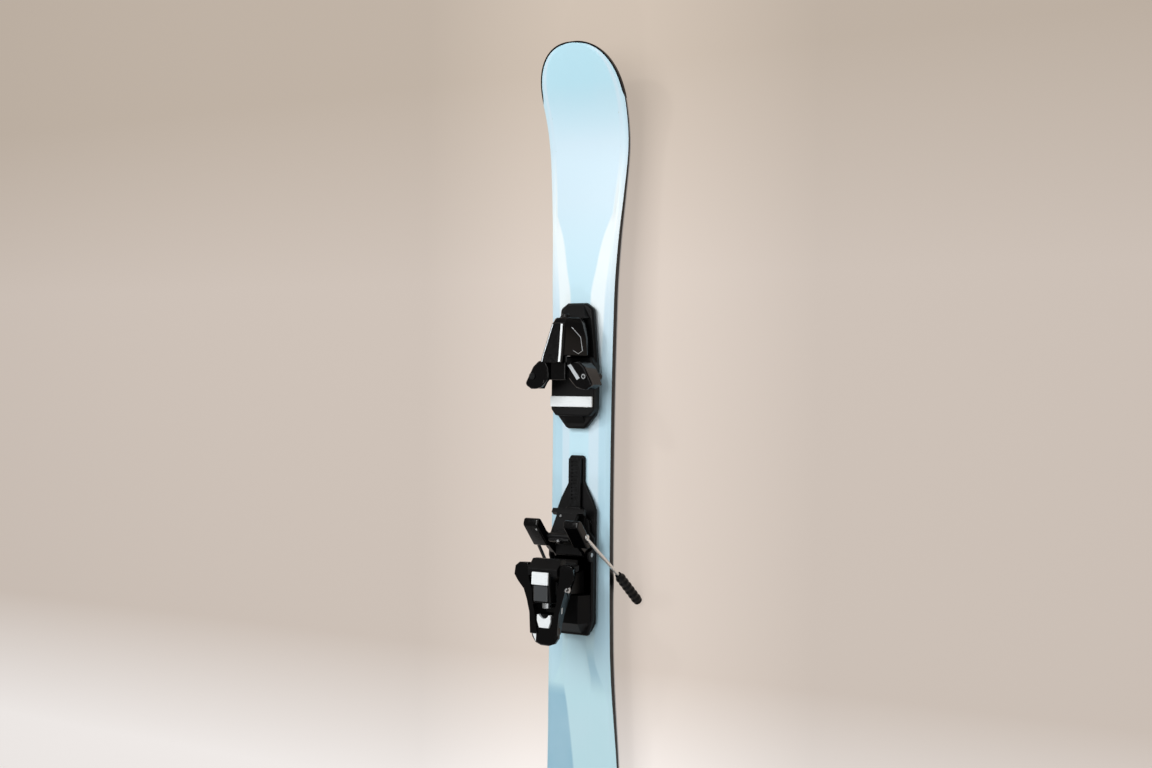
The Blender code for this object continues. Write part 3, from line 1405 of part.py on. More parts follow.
def pedal_point(along, out):
    """A point of the pedal in X and Z: along its slope from its front edge, and out from its top."""
    c = math.cos(PEDAL_ANGLE)
    s = math.sin(PEDAL_ANGLE)
    return PEDAL_FRONT[0] - along * c + out * s, PEDAL_FRONT[1] + along * s + out * c


def make_pedal():
    origin = (ARM_TOP_X, 0, ARM_TOP_Z)
    thick = PEDAL_THICKNESS
    plate = [
        pedal_point(*p)
        for p in (
            (0, -0.6 * thick),
            (0.0012, 0),
            (PEDAL_LENGTH, 0),
            (PEDAL_LENGTH, -thick),
            (0.0030, -thick),
        )
    ]
    pedal = side_slab("brake_pedal", plate, -PEDAL_HALF, PEDAL_HALF, BLACK_MATTE, origin)
    bevel(pedal, 0.0008)
    bar = [
        pedal_point(*p)
        for p in (
            (-0.0008, -0.5 * thick),
            (0.0006, 0.0006),
            (0.0062, 0.0006),
            (0.0062, -thick - 0.0005),
            (0.0026, -thick - 0.0005),
        )
    ]
    join(pedal, side_slab("pedal_front", bar, -PEDAL_FRONT_HALF, PEDAL_FRONT_HALF, None))
    knuckle = rod(
        "pedal_knuckle",
        (ARM_TOP_X, -PEDAL_HALF - GAP, ARM_TOP_Z),
        (ARM_TOP_X, PEDAL_HALF + GAP, ARM_TOP_Z),
        KNUCKLE_RADIUS,
        None,
        18,
    )
    join(pedal, knuckle)
    up = Vector((math.sin(PEDAL_ANGLE), 0, math.cos(PEDAL_ANGLE)))
    disc_foot = Vector(origin) - PEDAL_DISC_DROP * up
    disc_top = disc_foot + PEDAL_DISC_HEIGHT * up
    join(pedal, rod("pedal_disc", disc_foot, disc_top, PEDAL_DISC_RADIUS, None, 24))
    for side in (-1, 1):
        hole = rod(
            f"knuckle_hole_{side}",
            (ARM_TOP_X, side * (WIRE_INNER_Y - GAP), ARM_TOP_Z),
            (ARM_TOP_X, side * (PEDAL_HALF + PAST), ARM_TOP_Z),
            WIRE_RADIUS + RUNNING_CLEARANCE,
            None,
            16,
        )
        cut(pedal, hole)
    return pedal


def make_brake():
    for name, side in (("left", 1), ("right", -1)):
        make_arm(name, side)
        make_shoe(name, side)
    make_pedal()


clear_scene()
PARTS = make_collection(COLLECTION)
CUTTERS = make_collection("cutters", hidden=True)
TOPSHEET_BLUE = material("topsheet_blue", (0.48, 0.76, 0.86), 0.15)
SIDEWALL = material("sidewall_black", (0.012, 0.012, 0.013), 0.35)
BASE_BLACK = material("sintered_base", (0.02, 0.02, 0.022), 0.4)
LAMINATE = material("glass_laminate", (0.45, 0.45, 0.33), 0.5)
WOOD = material("wood_core", (0.52, 0.36, 0.2), 0.6)
STEEL = material("steel", (0.6, 0.6, 0.62), 0.3, 1.0)
BRASS = material("brass", (0.7, 0.5, 0.2), 0.35, 1.0)
BLACK_MATTE = material("black_matte_plastic", (0.02, 0.02, 0.022), 0.5)
BLACK_GLOSS = material("black_gloss_plastic", (0.012, 0.012, 0.013), 0.2)
WHITE = material("white_plastic", (0.85, 0.85, 0.85), 0.4)
WINDOW = material("window_plastic", (0.25, 0.25, 0.26), 0.1)
make_ski()
make_toe_piece()
make_heel_piece()
make_brake()
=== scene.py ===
"""Looks of a short race ski with its toe piece, heel piece and brake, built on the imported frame.

Metres. +X points to the tip, +Y to the skier's left, +Z up from the running surface.
"""

import json
import math

import bmesh
import bpy
from mathutils import Matrix, Vector

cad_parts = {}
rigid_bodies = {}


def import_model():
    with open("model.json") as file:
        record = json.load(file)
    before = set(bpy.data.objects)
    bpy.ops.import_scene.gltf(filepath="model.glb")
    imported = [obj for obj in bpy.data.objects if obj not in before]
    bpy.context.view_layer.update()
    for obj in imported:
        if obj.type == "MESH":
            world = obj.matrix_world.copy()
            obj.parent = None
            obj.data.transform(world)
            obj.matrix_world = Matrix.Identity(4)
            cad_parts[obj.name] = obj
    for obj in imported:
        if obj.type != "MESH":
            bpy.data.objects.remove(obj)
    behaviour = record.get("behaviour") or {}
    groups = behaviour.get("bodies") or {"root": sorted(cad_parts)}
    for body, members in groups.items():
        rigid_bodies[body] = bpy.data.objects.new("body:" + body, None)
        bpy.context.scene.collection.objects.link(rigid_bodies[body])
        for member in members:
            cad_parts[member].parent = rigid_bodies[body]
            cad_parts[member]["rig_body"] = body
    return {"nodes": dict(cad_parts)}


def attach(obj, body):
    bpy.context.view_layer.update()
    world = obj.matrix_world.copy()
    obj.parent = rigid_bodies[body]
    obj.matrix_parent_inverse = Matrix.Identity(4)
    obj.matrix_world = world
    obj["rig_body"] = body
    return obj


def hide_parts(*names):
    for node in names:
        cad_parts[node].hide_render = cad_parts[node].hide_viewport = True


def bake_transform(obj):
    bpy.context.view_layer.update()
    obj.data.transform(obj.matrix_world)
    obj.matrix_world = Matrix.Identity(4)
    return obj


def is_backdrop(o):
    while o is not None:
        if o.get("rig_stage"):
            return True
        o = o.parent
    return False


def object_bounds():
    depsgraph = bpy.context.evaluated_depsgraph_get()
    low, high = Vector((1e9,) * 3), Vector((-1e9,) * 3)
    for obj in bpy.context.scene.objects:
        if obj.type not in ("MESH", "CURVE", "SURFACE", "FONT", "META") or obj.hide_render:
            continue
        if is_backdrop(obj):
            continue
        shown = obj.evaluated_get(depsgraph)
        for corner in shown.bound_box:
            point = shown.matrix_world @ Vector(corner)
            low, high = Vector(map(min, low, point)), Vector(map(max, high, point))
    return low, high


bl_info = {
    "name": "Race ski looks",
    "version": (1, 0, 0),
    "blender": (4, 5, 0),
    "location": "3D View > Sidebar > Race ski",
    "description": "Dresses the packed frame of a race ski and lights it in a pale studio",
    "category": "Object",
}

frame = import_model()
CAD_LOW, CAD_HIGH = (Vector(corner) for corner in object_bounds())
MM = 0.001


# Colours


def linear(hex_code):
    """The linear colour of an sRGB hex value, as Blender's sockets take it."""
    made = []
    for i in (1, 3, 5):
        value = int(hex_code[i : i + 2], 16) / 255
        made.append(value / 12.92 if value <= 0.04045 else ((value + 0.055) / 1.055) ** 2.4)
    return tuple(made)


def colour_setting(name, description, hex_code):
    return bpy.props.FloatVectorProperty(
        name=name,
        description=description,
        subtype="COLOR",
        size=3,
        min=0,
        max=1,
        default=linear(hex_code),
    )


def length_setting(name, description, default):
    return bpy.props.FloatProperty(
        name=name,
        description=description,
        subtype="DISTANCE",
        unit="LENGTH",
        precision=5,
        min=0,
        default=default,
    )


class SkiColours(bpy.types.PropertyGroup):
    """Colours that a user would change."""

    film: colour_setting("Top film", "Pale blue of the printed top film", "#C1E3F1")
    film_tip: colour_setting("Tip film", "Deeper blue at the tip", "#B8E0EF")
    film_pale: colour_setting("Pale film", "Paler blue of the shovel", "#CBE2EF")
    film_tail: colour_setting("Tail film", "Blue of the tail", "#BDE0EA")
    flank: colour_setting("Flank film", "Nearly white of the spine's flanks before the toe", "#E9F4F8")
    shelf: colour_setting("Shelf film", "The low faces beside the flanks", "#B3D6E6")
    # Painted shade: a deep blue that stands in for the shade on the flanks behind the heel piece, where
    # they fall away from the light
    painted_shade: colour_setting("Scoop film", "Deep blue of the flanks behind the heel piece", "#96C0D4")
    sidewall: colour_setting("Sidewall", "Black of the sidewalls and end guards", "#050506")
    matte: colour_setting("Matte mouldings", "Black of the grained mouldings", "#070708")
    gloss: colour_setting("Gloss mouldings", "Black of the polished mouldings", "#030304")
    white: colour_setting("White inlays", "White of the inlays and the toe rest", "#E6ECEF")
    silver: colour_setting("Silver trim", "Silver of the painted trim", "#C4CBD0")
    floor: colour_setting("Floor", "Warm pale paper under the ski", "#A89E96")
    # Painted light and shade: the nearly white paper behind the tail and the darker paper before the tip
    # stand in for how the light falls off along the floor
    floor_painted_light: colour_setting("Floor behind the tail", "Nearly white paper", "#C9C5C3")
    floor_painted_shade: colour_setting("Floor before the tip", "Darker paper", "#9A8F84")


class SkiSizes(bpy.types.PropertyGroup):
    """Sizes that a user would change."""

    crease: length_setting("Crease rounding", "Rounding of the creases in the top film", 0.0012)
    edge_round: length_setting("Edge rounding", "Rounding of the larger mouldings' edges", 0.00045)
    lens: bpy.props.FloatProperty(
        name="Lens",
        description="Focal length of the camera",
        subtype="DISTANCE",
        unit="CAMERA",
        default=0.050,
    )


# Materials

NOISE_ROUGHNESS = 0.55
# The mix node's sockets for colours, by their places
MIX_SHARE = 0
MIX_FIRST = 6
MIX_SECOND = 7
MIX_RESULT = 2
# A wave pattern of scale 1 has this many bands a metre
WAVE_BANDS = 20 / (2 * math.pi)
WEAVE_PITCH = 3.948 * MM


def node(tree, kind, inputs=None, **settings):
    """Adds a node with its settings, and links or sets its inputs."""
    made = tree.nodes.new(kind)
    for name, value in settings.items():
        setattr(made, name, value)
    for socket, value in (inputs or {}).items():
        if isinstance(value, bpy.types.NodeSocket):
            tree.links.new(value, made.inputs[socket])
        else:
            made.inputs[socket].default_value = value
    return made


def new_material(name, colour, **settings):
    """A Principled material with its node tree, its shader and the place that patterns are laid by."""
    made = bpy.data.materials.new(name)
    made.use_nodes = True
    tree = made.node_tree
    shader = tree.nodes["Principled BSDF"]
    shader.inputs["Base Color"].default_value = (*colour, 1)
    for socket, value in settings.items():
        shader.inputs[socket.replace("_", " ")].default_value = value
    place = node(tree, "ShaderNodeTexCoord").outputs["Object"]
    return made, tree, shader, place


def stretched(tree, place, scale):
    """A place whose patterns are drawn out along an axis where the scale is less than 1."""
    return node(tree, "ShaderNodeMapping", {"Vector": place, "Scale": scale}).outputs["Vector"]


def noise(tree, place, pitch, detail):
    """Noise whose patches are about pitch metres across."""
    inputs = {"Vector": place, "Scale": 1 / pitch, "Detail": detail, "Roughness": NOISE_ROUGHNESS}
    return node(tree, "ShaderNodeTexNoise", inputs).outputs["Fac"]


def ramp(tree, value, stops):
    """The colour at a value from 0 to 1, through (value, colour) stops."""
    made = node(tree, "ShaderNodeValToRGB", {"Fac": value})
    elements = made.color_ramp.elements
    while len(elements) < len(stops):
        elements.new(0.5)
    for element, (spot, colour) in zip(elements, stops):
        element.position = spot
        element.color = (*colour, 1)
    return made.outputs["Color"]


def spread(tree, value, low, high, to_low=0, to_high=1):
    """Carries a value from one range to another, and stops at its ends."""
    inputs = {"Value": value, "From Min": low, "From Max": high, "To Min": to_low, "To Max": to_high}
    return node(tree, "ShaderNodeMapRange", inputs).outputs["Result"]


def mixed(tree, share, first, second, blend="MIX"):
    """Mixes two colours by a share from 0 to 1; each may be a value or another node's output."""
    inputs = {MIX_SHARE: share}
    for socket, colour in ((MIX_FIRST, first), (MIX_SECOND, second)):
        linked = isinstance(colour, bpy.types.NodeSocket)
        inputs[socket] = colour if linked else (*colour, 1)
    made = node(tree, "ShaderNodeMix", inputs, data_type="RGBA", blend_type=blend)
    return made.outputs[MIX_RESULT]


def tinted(tree, shader, share, first, second):
    """Lets the base colour run from the first colour to the second by a share."""
    tree.links.new(mixed(tree, share, first, second), shader.inputs["Base Color"])


def roughened(tree, shader, pattern, low, high, smooth, rough):
    """Lets a pattern's values from low to high take the roughness from smooth to rough."""
    tree.links.new(spread(tree, pattern, low, high, smooth, rough), shader.inputs["Roughness"])


def bumped(tree, shader, height, strength, distance):
    """Lets a pattern stand out by a distance in metres, as far as the strength says."""
    inputs = {"Height": height, "Strength": strength, "Distance": distance}
    tree.links.new(node(tree, "ShaderNodeBump", inputs).outputs["Normal"], shader.inputs["Normal"])


def axis_value(tree, place, axis):
    return node(tree, "ShaderNodeSeparateXYZ", {"Vector": place}).outputs[axis]


# Tones of the top film along the ski: X and the name of the colour there, in each zone across it
FILM_SPINE = (
    (-0.445, "film_tail"),
    (-0.245, "film_tail"),
    (-0.150, "film"),
    (0.195, "film"),
    (0.300, "film_pale"),
    (0.365, "film_pale"),
    (0.430, "film_tip"),
    (0.472, "film_tip"),
)
FILM_FLANK = (
    (-0.445, "film_tail"),
    (-0.200, "film_tail"),
    (-0.120, "film_pale"),
    (0.110, "film_pale"),
    (0.170, "flank"),
    (0.310, "flank"),
    (0.360, "film_pale"),
)
FILM_SHELF = (
    (-0.445, "film_tail"),
    (-0.260, "film_tail"),
    (-0.180, "shelf"),
    (0.070, "shelf"),
    (0.180, "film_pale"),
    (0.270, "flank"),
    (0.360, "film_pale"),
    (0.472, "film_tip"),
)
FILM_TONES = (("flank", FILM_FLANK), ("shelf", FILM_SHELF))


def tones_along(tree, along, stops, colours):
    """The film's colour along the ski, through a table of tones."""
    low, high = stops[0][0], stops[-1][0]
    tones = [((x - low) / (high - low), getattr(colours, name)) for x, name in stops]
    return ramp(tree, spread(tree, along, low, high), tones)


def zone_share(tree, zone):
    """How far a point of the film lies in one of its zones."""
    return node(tree, "ShaderNodeAttribute", attribute_name=zone).outputs["Fac"]


def printed_film(colours):
    """Polyamide top film, printed from below: its clear lacquer gives a soft, even gloss."""
    made, tree, shader, place = new_material(
        "printed_polyamide_film", colours.film, Roughness=0.34, IOR=1.53, Specular_IOR_Level=0.2
    )
    # The colour changes along the ski, and the spine, the flanks and the shelves have their own tones.
    along = axis_value(tree, place, "X")
    body = tones_along(tree, along, FILM_SPINE, colours)
    for zone, stops in FILM_TONES:
        body = mixed(tree, zone_share(tree, zone), body, tones_along(tree, along, stops, colours))
    # Painted shade: behind the heel piece the flanks turn deep blue where they fall away from the light.
    body = mixed(tree, zone_share(tree, "painted_shade"), body, colours.painted_shade)
    # The print has a broad, barely visible cloud in it, some 60 mm across.
    cloud = noise(tree, place, 60 * MM, 2)
    tinted(tree, shader, spread(tree, cloud, 0.35, 0.7, 0, 0.2), body, colours.film_pale)
    # Fine wiping marks lie along the ski. They are 0.5 mm apart, as the real ones are too fine to show.
    marks = noise(tree, stretched(tree, place, (0.04, 1, 1)), 0.5 * MM, 4)
    roughened(tree, shader, marks, 0.3, 0.7, 0.30, 0.40)
    bumped(tree, shader, marks, 0.05, 0.02 * MM)
    return made


def sidewall_plastic(colours):
    """Milled ABS: black, with sanding lines that run along the ski."""
    made, tree, shader, place = new_material(
        "milled_abs", colours.sidewall, Roughness=0.28, IOR=1.54, Specular_IOR_Level=0.25
    )
    lines = noise(tree, stretched(tree, place, (0.02, 1, 1)), 0.4 * MM, 3)
    roughened(tree, shader, lines, 0.3, 0.7, 0.22, 0.38)
    bumped(tree, shader, lines, 0.12, 0.03 * MM)
    return made


def edge_steel(colours):
    """Ground carbon steel: bright, with grinding lines along the edge."""
    made, tree, shader, place = new_material(
        "ground_edge_steel", linear("#B4B8BC"), Roughness=0.3, Metallic=1.0
    )
    lines = noise(tree, stretched(tree, place, (0.02, 1, 1)), 0.3 * MM, 4)
    roughened(tree, shader, lines, 0.3, 0.7, 0.2, 0.42)
    bumped(tree, shader, lines, 0.2, 0.02 * MM)
    return made


def running_base(colours):
    """Sintered polyethylene: black and waxy, with the stone's grinding pattern along the ski."""
    made, tree, shader, place = new_material(
        "sintered_polyethylene", linear("#141517"), Roughness=0.42, IOR=1.51
    )
    lines = noise(tree, stretched(tree, place, (0.015, 1, 1)), 0.8 * MM, 2)
    tinted(tree, shader, spread(tree, lines, 0.4, 0.6), linear("#101113"), linear("#1D1E21"))
    bumped(tree, shader, lines, 0.3, 0.05 * MM)
    return made


def matte_moulding(colours):
    """Glass-filled polyamide from a spark-eroded mould: a fine even grain that breaks up the light."""
    made, tree, shader, place = new_material(
        "grained_polyamide", colours.matte, Roughness=0.42, IOR=1.53, Specular_IOR_Level=0.16
    )
    grain = noise(tree, place, 0.45 * MM, 3)
    patch = noise(tree, place, 14 * MM, 3)
    tinted(tree, shader, spread(tree, patch, 0.35, 0.7, 0, 0.5), colours.matte, linear("#0E0E10"))
    roughened(tree, shader, grain, 0.3, 0.7, 0.32, 0.5)
    bumped(tree, shader, grain, 0.25, 0.06 * MM)
    return made


def gloss_moulding(colours):
    """Polished acetal: deep black, with the faint waviness of a moulded face."""
    made, tree, shader, place = new_material(
        "polished_acetal", colours.gloss, Roughness=0.14, IOR=1.49, Specular_IOR_Level=0.26
    )
    wave = noise(tree, place, 9 * MM, 2)
    haze = noise(tree, place, 2.2 * MM, 4)
    roughened(tree, shader, haze, 0.3, 0.75, 0.08, 0.2)
    bumped(tree, shader, wave, 0.08, 0.3 * MM)
    return made


def white_moulding(colours):
    """White acetal: smooth, slightly waxy, greyer where it has been rubbed."""
    made, tree, shader, place = new_material("white_acetal", colours.white, Roughness=0.3, IOR=1.48)
    rub = noise(tree, stretched(tree, place, (1, 0.3, 1)), 3 * MM, 4)
    tinted(tree, shader, spread(tree, rub, 0.5, 0.8, 0, 0.4), colours.white, linear("#C7CDD1"))
    roughened(tree, shader, rub, 0.3, 0.7, 0.24, 0.42)
    return made


def silver_paint(colours):
    """Aluminium-flake paint: a soft metallic grey with a fine sparkle."""
    made, tree, shader, place = new_material(
        "aluminium_flake_paint", colours.silver, Roughness=0.32, Metallic=0.7
    )
    flake = noise(tree, place, 0.35 * MM, 2)
    roughened(tree, shader, flake, 0.3, 0.7, 0.24, 0.44)
    return made


def zinc_steel(colours):
    """Zinc-plated steel: pale grey metal, clouded by handling."""
    made, tree, shader, place = new_material(
        "zinc_plated_steel", linear("#BFC3C6"), Roughness=0.26, Metallic=1.0
    )
    cloud = noise(tree, place, 1.6 * MM, 4)
    roughened(tree, shader, cloud, 0.3, 0.75, 0.18, 0.4)
    tinted(tree, shader, spread(tree, cloud, 0.4, 0.7), linear("#C8CCCF"), linear("#A5A9AC"))
    return made


def blackened_steel(colours):
    """Phosphated and oiled steel: nearly black, with a dull sheen along the worn places."""
    made, tree, shader, place = new_material(
        "blackened_steel", linear("#08090A"), Roughness=0.34, IOR=1.6, Specular_IOR_Level=0.16
    )
    wear = noise(tree, stretched(tree, place, (0.3, 1, 1)), 2.5 * MM, 4)
    tinted(tree, shader, spread(tree, wear, 0.5, 0.8, 0, 0.6), linear("#08090A"), linear("#1A1C1F"))
    roughened(tree, shader, wear, 0.3, 0.75, 0.26, 0.44)
    return made


def drawn_wire(colours):
    """Drawn spring wire, nickelled: bright, with small dull spots."""
    made, tree, shader, place = new_material(
        "nickelled_spring_wire", linear("#E6E6E4"), Roughness=0.26, Metallic=1.0
    )
    spots = noise(tree, place, 0.7 * MM, 4)
    roughened(tree, shader, spots, 0.3, 0.7, 0.16, 0.34)
    return made


def turned_brass(colours):
    """Turned brass: warm yellow metal with the marks of the lathe across its axis."""
    made, tree, shader, place = new_material(
        "turned_brass", linear("#B7935A"), Roughness=0.28, Metallic=1.0
    )
    rings = noise(tree, stretched(tree, place, (1, 0.05, 0.05)), 0.3 * MM, 2)
    roughened(tree, shader, rings, 0.3, 0.7, 0.2, 0.36)
    return made


def smoke_window(colours):
    """Smoked polycarbonate: dark grey, with a hard clear gloss."""
    made, tree, shader, place = new_material(
        "smoked_polycarbonate",
        linear("#3C3F42"),
        Roughness=0.08,
        IOR=1.58,
        Coat_Weight=0.6,
        Coat_Roughness=0.04,
    )
    haze = noise(tree, place, 1.5 * MM, 3)
    roughened(tree, shader, haze, 0.35, 0.75, 0.05, 0.14)
    return made


def glass_fibre(colours):
    """Cured glass-fibre sheet: greenish and matte, with its rovings about 4 mm apart."""
    made, tree, shader, place = new_material(
        "cured_glass_fibre", linear("#A9AD8E"), Roughness=0.5, IOR=1.52
    )
    inputs = {"Vector": place, "Scale": 1 / (WEAVE_PITCH * WAVE_BANDS), "Distortion": 0.4}
    weave = node(tree, "ShaderNodeTexWave", inputs).outputs["Fac"]
    tinted(tree, shader, weave, linear("#9FA485"), linear("#B5B99B"))
    return made


def core_wood(colours):
    """Laminated poplar and ash strips: pale wood with grain along the ski."""
    made, tree, shader, place = new_material(
        "laminated_poplar", linear("#B98F5D"), Roughness=0.55, IOR=1.5
    )
    grain = noise(tree, stretched(tree, place, (0.03, 1, 1)), 1.2 * MM, 5)
    tinted(tree, shader, spread(tree, grain, 0.35, 0.65), linear("#C39B68"), linear("#9D7444"))
    return made


# What makes each finish, and the slot that it goes by
MAKERS = {
    "film": printed_film,
    "sidewall": sidewall_plastic,
    "edge": edge_steel,
    "base": running_base,
    "matte": matte_moulding,
    "gloss": gloss_moulding,
    "white": white_moulding,
    "silver": silver_paint,
    "zinc": zinc_steel,
    "black_steel": blackened_steel,
    "wire": drawn_wire,
    "brass": turned_brass,
    "window": smoke_window,
    "fibre": glass_fibre,
    "wood": core_wood,
}
# The materials made so far, by finish
_made = {}


def look(name):
    """The material of a finish, made when it is first asked for."""
    if name not in _made:
        _made[name] = MAKERS[name](bpy.context.scene.race_ski_colours)
    return _made[name]


# Making pieces

# Angles in degrees. Edges that bend by more than a sharp angle are shaded crisp. Edges of mouldings
# that bend by more than the bevel angle are rounded, and faces that bend by less than the flat angle
# are joined.
SHARP_ANGLE = 32
FILM_SHARP_ANGLE = 50
BEVEL_ANGLE = 28
FLAT_ANGLE = 0.6
BEVEL_SEGMENTS = 2
MERGE_DISTANCE = 0.002 * MM
SHORTEST_EDGE = 0.02 * MM
# How deep caps, stripes and plates start inside the face that carries them
CAP_SINK = 0.3 * MM
CAP_TAPER = 0.86
CAP_SEGMENTS = 28
LINE_SIDES = 8


def body_of_node(name):
    return frame["nodes"][name]["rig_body"]


def finish_piece(shape, name, body, finish, replaced=(), sharp=SHARP_ANGLE):
    """Puts a finished bmesh, in world places, into the scene as one piece of a body, or of none yet."""
    limit = math.radians(sharp)
    for face in shape.faces:
        face.smooth = True
    for edge in shape.edges:
        edge.smooth = not (len(edge.link_faces) == 2 and edge.calc_face_angle() > limit)
    data = bpy.data.meshes.new(name)
    shape.to_mesh(data)
    shape.free()
    made = bpy.data.objects.new(name, data)
    bpy.context.scene.collection.objects.link(made)
    data.materials.append(look(finish))
    if body:
        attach(made, body)
    if replaced:
        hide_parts(*replaced)
    return made


def swept(rings):
    """A bmesh whose first ring of points is extruded through the others, with its ends filled."""
    shape = bmesh.new()
    first = [shape.verts.new(point) for point in rings[0]]
    edges = [shape.edges.new((a, b)) for a, b in zip(first, first[1:] + first[:1])]
    start, row = edges, first
    for ring in rings[1:]:
        made = bmesh.ops.extrude_edge_only(shape, edges=edges)
        fresh = [part for part in made["geom"] if isinstance(part, bmesh.types.BMVert)]
        joined = {}
        for vert in fresh:
            for edge in vert.link_edges:
                other = edge.other_vert(vert)
                if other in row:
                    joined[other] = vert
        row = [joined[vert] for vert in row]
        for vert, point in zip(row, ring):
            vert.co = point
        edges = [shape.edges.get((a, b)) for a, b in zip(row, row[1:] + row[:1])]
    bmesh.ops.edgeloop_fill(shape, edges=start)
    bmesh.ops.edgeloop_fill(shape, edges=edges)
    bmesh.ops.recalc_face_normals(shape, faces=shape.faces)
    return shape


def cad_shape(name):
    """A copy of a CAD node's mesh, with its faces joined at their corners."""
    shape = bmesh.new()
    shape.from_mesh(frame["nodes"][name].data)
    bmesh.ops.remove_doubles(shape, verts=shape.verts, dist=MERGE_DISTANCE)
    return shape


def softened(name, finish, width):
    """Makes a copy of a moulded CAD node with its edges rounded, which stands for that node."""
    shape = cad_shape(name)
    flat = math.radians(FLAT_ANGLE)
    bmesh.ops.dissolve_limit(shape, angle_limit=flat, verts=shape.verts, edges=shape.edges)
    bmesh.ops.dissolve_degenerate(shape, edges=shape.edges, dist=SHORTEST_EDGE)
    limit = math.radians(BEVEL_ANGLE)
    pairs = [edge for edge in shape.edges if len(edge.link_faces) == 2]
    bmesh.ops.bevel(
        shape,
        geom=[edge for edge in pairs if edge.calc_face_angle() > limit],
        offset=width,
        offset_type="OFFSET",
        affect="EDGES",
        segments=BEVEL_SEGMENTS,
        profile=0.5,
        material=-1,
        clamp_overlap=False,
    )
    made = finish_piece(shape, f"{name}_moulded", body_of_node(name), finish, (name,), BEVEL_ANGLE)
    # The flat faces keep their own direction, so that only the rounded edges catch the light.
    weights = made.modifiers.new("weighted_normals", "WEIGHTED_NORMAL")
    weights.keep_sharp = True


def turned_to(normal):
    """The rotation that turns +Z to a direction."""
    return Vector(normal).to_track_quat("Z", "Y").to_matrix().to_4x4()


def round_cap(name, body, place, normal, radius, height, finish):
    """Makes a low round cap that stands on a face at a place; it starts a little inside the face."""
    shape = bmesh.new()
    bmesh.ops.create_cone(
        shape,
        cap_ends=True,
        segments=CAP_SEGMENTS,
        radius1=radius,
        radius2=radius * CAP_TAPER,
        depth=height + CAP_SINK,
    )
    shift = Matrix.Translation((0, 0, (height - CAP_SINK) / 2))
    matrix = Matrix.Translation(place) @ turned_to(normal) @ shift
    bmesh.ops.transform(shape, matrix=matrix, verts=shape.verts)
    finish_piece(shape, name, body, finish)


def flat_patch(name, body, corners, rise, finish):
    """Makes a thin plate on a flat face; its corners run anticlockwise as seen from outside."""
    corners = [Vector(corner) for corner in corners]
    normal = (corners[1] - corners[0]).cross(corners[2] - corners[0]).normalized()
    rings = [[corner + normal * height for corner in corners] for height in (-CAP_SINK, rise)]
    finish_piece(swept(rings), name, body, finish)


def raised_line(points, normal, radius):
    """The shape of a round line through points on a face that has about that normal."""
    points = [Vector(point) for point in points]
    turns = [2 * math.pi * k / LINE_SIDES for k in range(LINE_SIDES)]
    rings = []
    for i, point in enumerate(points):
        along = points[min(i + 1, len(points) - 1)] - points[max(i - 1, 0)]
        side = Vector(normal).cross(along).normalized()
        out = along.cross(side).normalized()
        rings.append([point + (side * math.cos(turn) + out * math.sin(turn)) * radius for turn in turns])
    return swept(rings)


def band(start, end, normal, width):
    """The four corners of a straight band on a face with that normal."""
    start, end = Vector(start), Vector(end)
    side = Vector(normal).cross(end - start).normalized() * width / 2
    return start - side, end - side, end + side, start + side


def dressed(name, finish):
    """Gives a finish to a CAD node that keeps its own shape."""
    part = frame["nodes"][name]
    part.data.materials.clear()
    part.data.materials.append(look(finish))


# The ski's shape, as the frame has it. Pairs of sizes are those in the middle and near the ends.

TIP_X = 0.4718
TAIL_X = -0.4450
TIP_ROUND_X = 0.4100
TAIL_ROUND_X = -0.3950
TIP_HALF = 0.0533
TAIL_HALF = 0.0480
TIP_SQUARENESS = 2.3
TAIL_SQUARENESS = 2.8
SIDECUT = (
    (TAIL_ROUND_X, TAIL_HALF),
    (-0.3270, 0.0459),
    (-0.2760, 0.0433),
    (-0.2310, 0.0412),
    (-0.1800, 0.0396),
    (-0.0900, 0.0383),
    (0.0000, 0.0379),
    (0.0900, 0.0384),
    (0.1930, 0.0404),
    (0.2577, 0.0432),
    (0.3021, 0.0467),
    (0.3578, 0.0512),
    (TIP_ROUND_X, TIP_HALF),
)
FLAT_ZONE_X = 0.190
CAMBER = 0.0050
CONTACT_X = 0.345
TAIL_CONTACT_X = -0.400
TIP_BEND_LENGTH = 0.070
TIP_BEND_DROP = 0.0152
TAIL_RISE = 0.0040
SIDE_HEIGHT = (0.0088, 0.0042)
SHELF_HEIGHT = (0.0110, 0.0056)
SPINE_RAISE = (0.0030, 0.0008)
BEVEL_WIDTH = (0.0050, 0.0030)
THIN_FROM_X = 0.190
THIN_TO_X = 0.400
BASE_THICKNESS = 0.0013
EDGE_WIDTH = 0.0022
EDGE_HEIGHT = 0.0019
TOPSHEET_THICKNESS = 0.0008
END_INSET_LENGTH = 0.0080
END_RIM = 0.0018
SIDEWALL_WIDTH = 0.0060
SIDEWALL_BOTTOM = 0.0023
LAYER_GAP = 0.0002
SPINE_TOP_HALF = (
    (-0.445, 0.0040),
    (-0.400, 0.0050),
    (-0.329, 0.0093),
    (-0.263, 0.0142),
    (-0.228, 0.0180),
    (-0.209, 0.0150),
    (-0.187, 0.0118),
    (-0.120, 0.0130),
    (0.193, 0.0132),
    (0.225, 0.0190),
    (0.258, 0.0258),
    (0.302, 0.0410),
    (0.472, 0.0600),
)
SPINE_FOOT_HALF = (
    (-0.445, 0.0600),
    (-0.262, 0.0400),
    (-0.242, 0.0360),
    (-0.231, 0.0310),
    (-0.209, 0.0225),
    (-0.187, 0.0208),
    (-0.120, 0.0240),
    (0.060, 0.0240),
    (0.193, 0.0298),
    (0.225, 0.0330),
    (0.258, 0.0370),
    (0.302, 0.0430),
    (0.472, 0.0600),
)
# The most that each crease takes of the half width outside it
BEVEL_SHARE = 0.5
FOOT_SHARE = 0.96
CREST_SHARE = 0.92
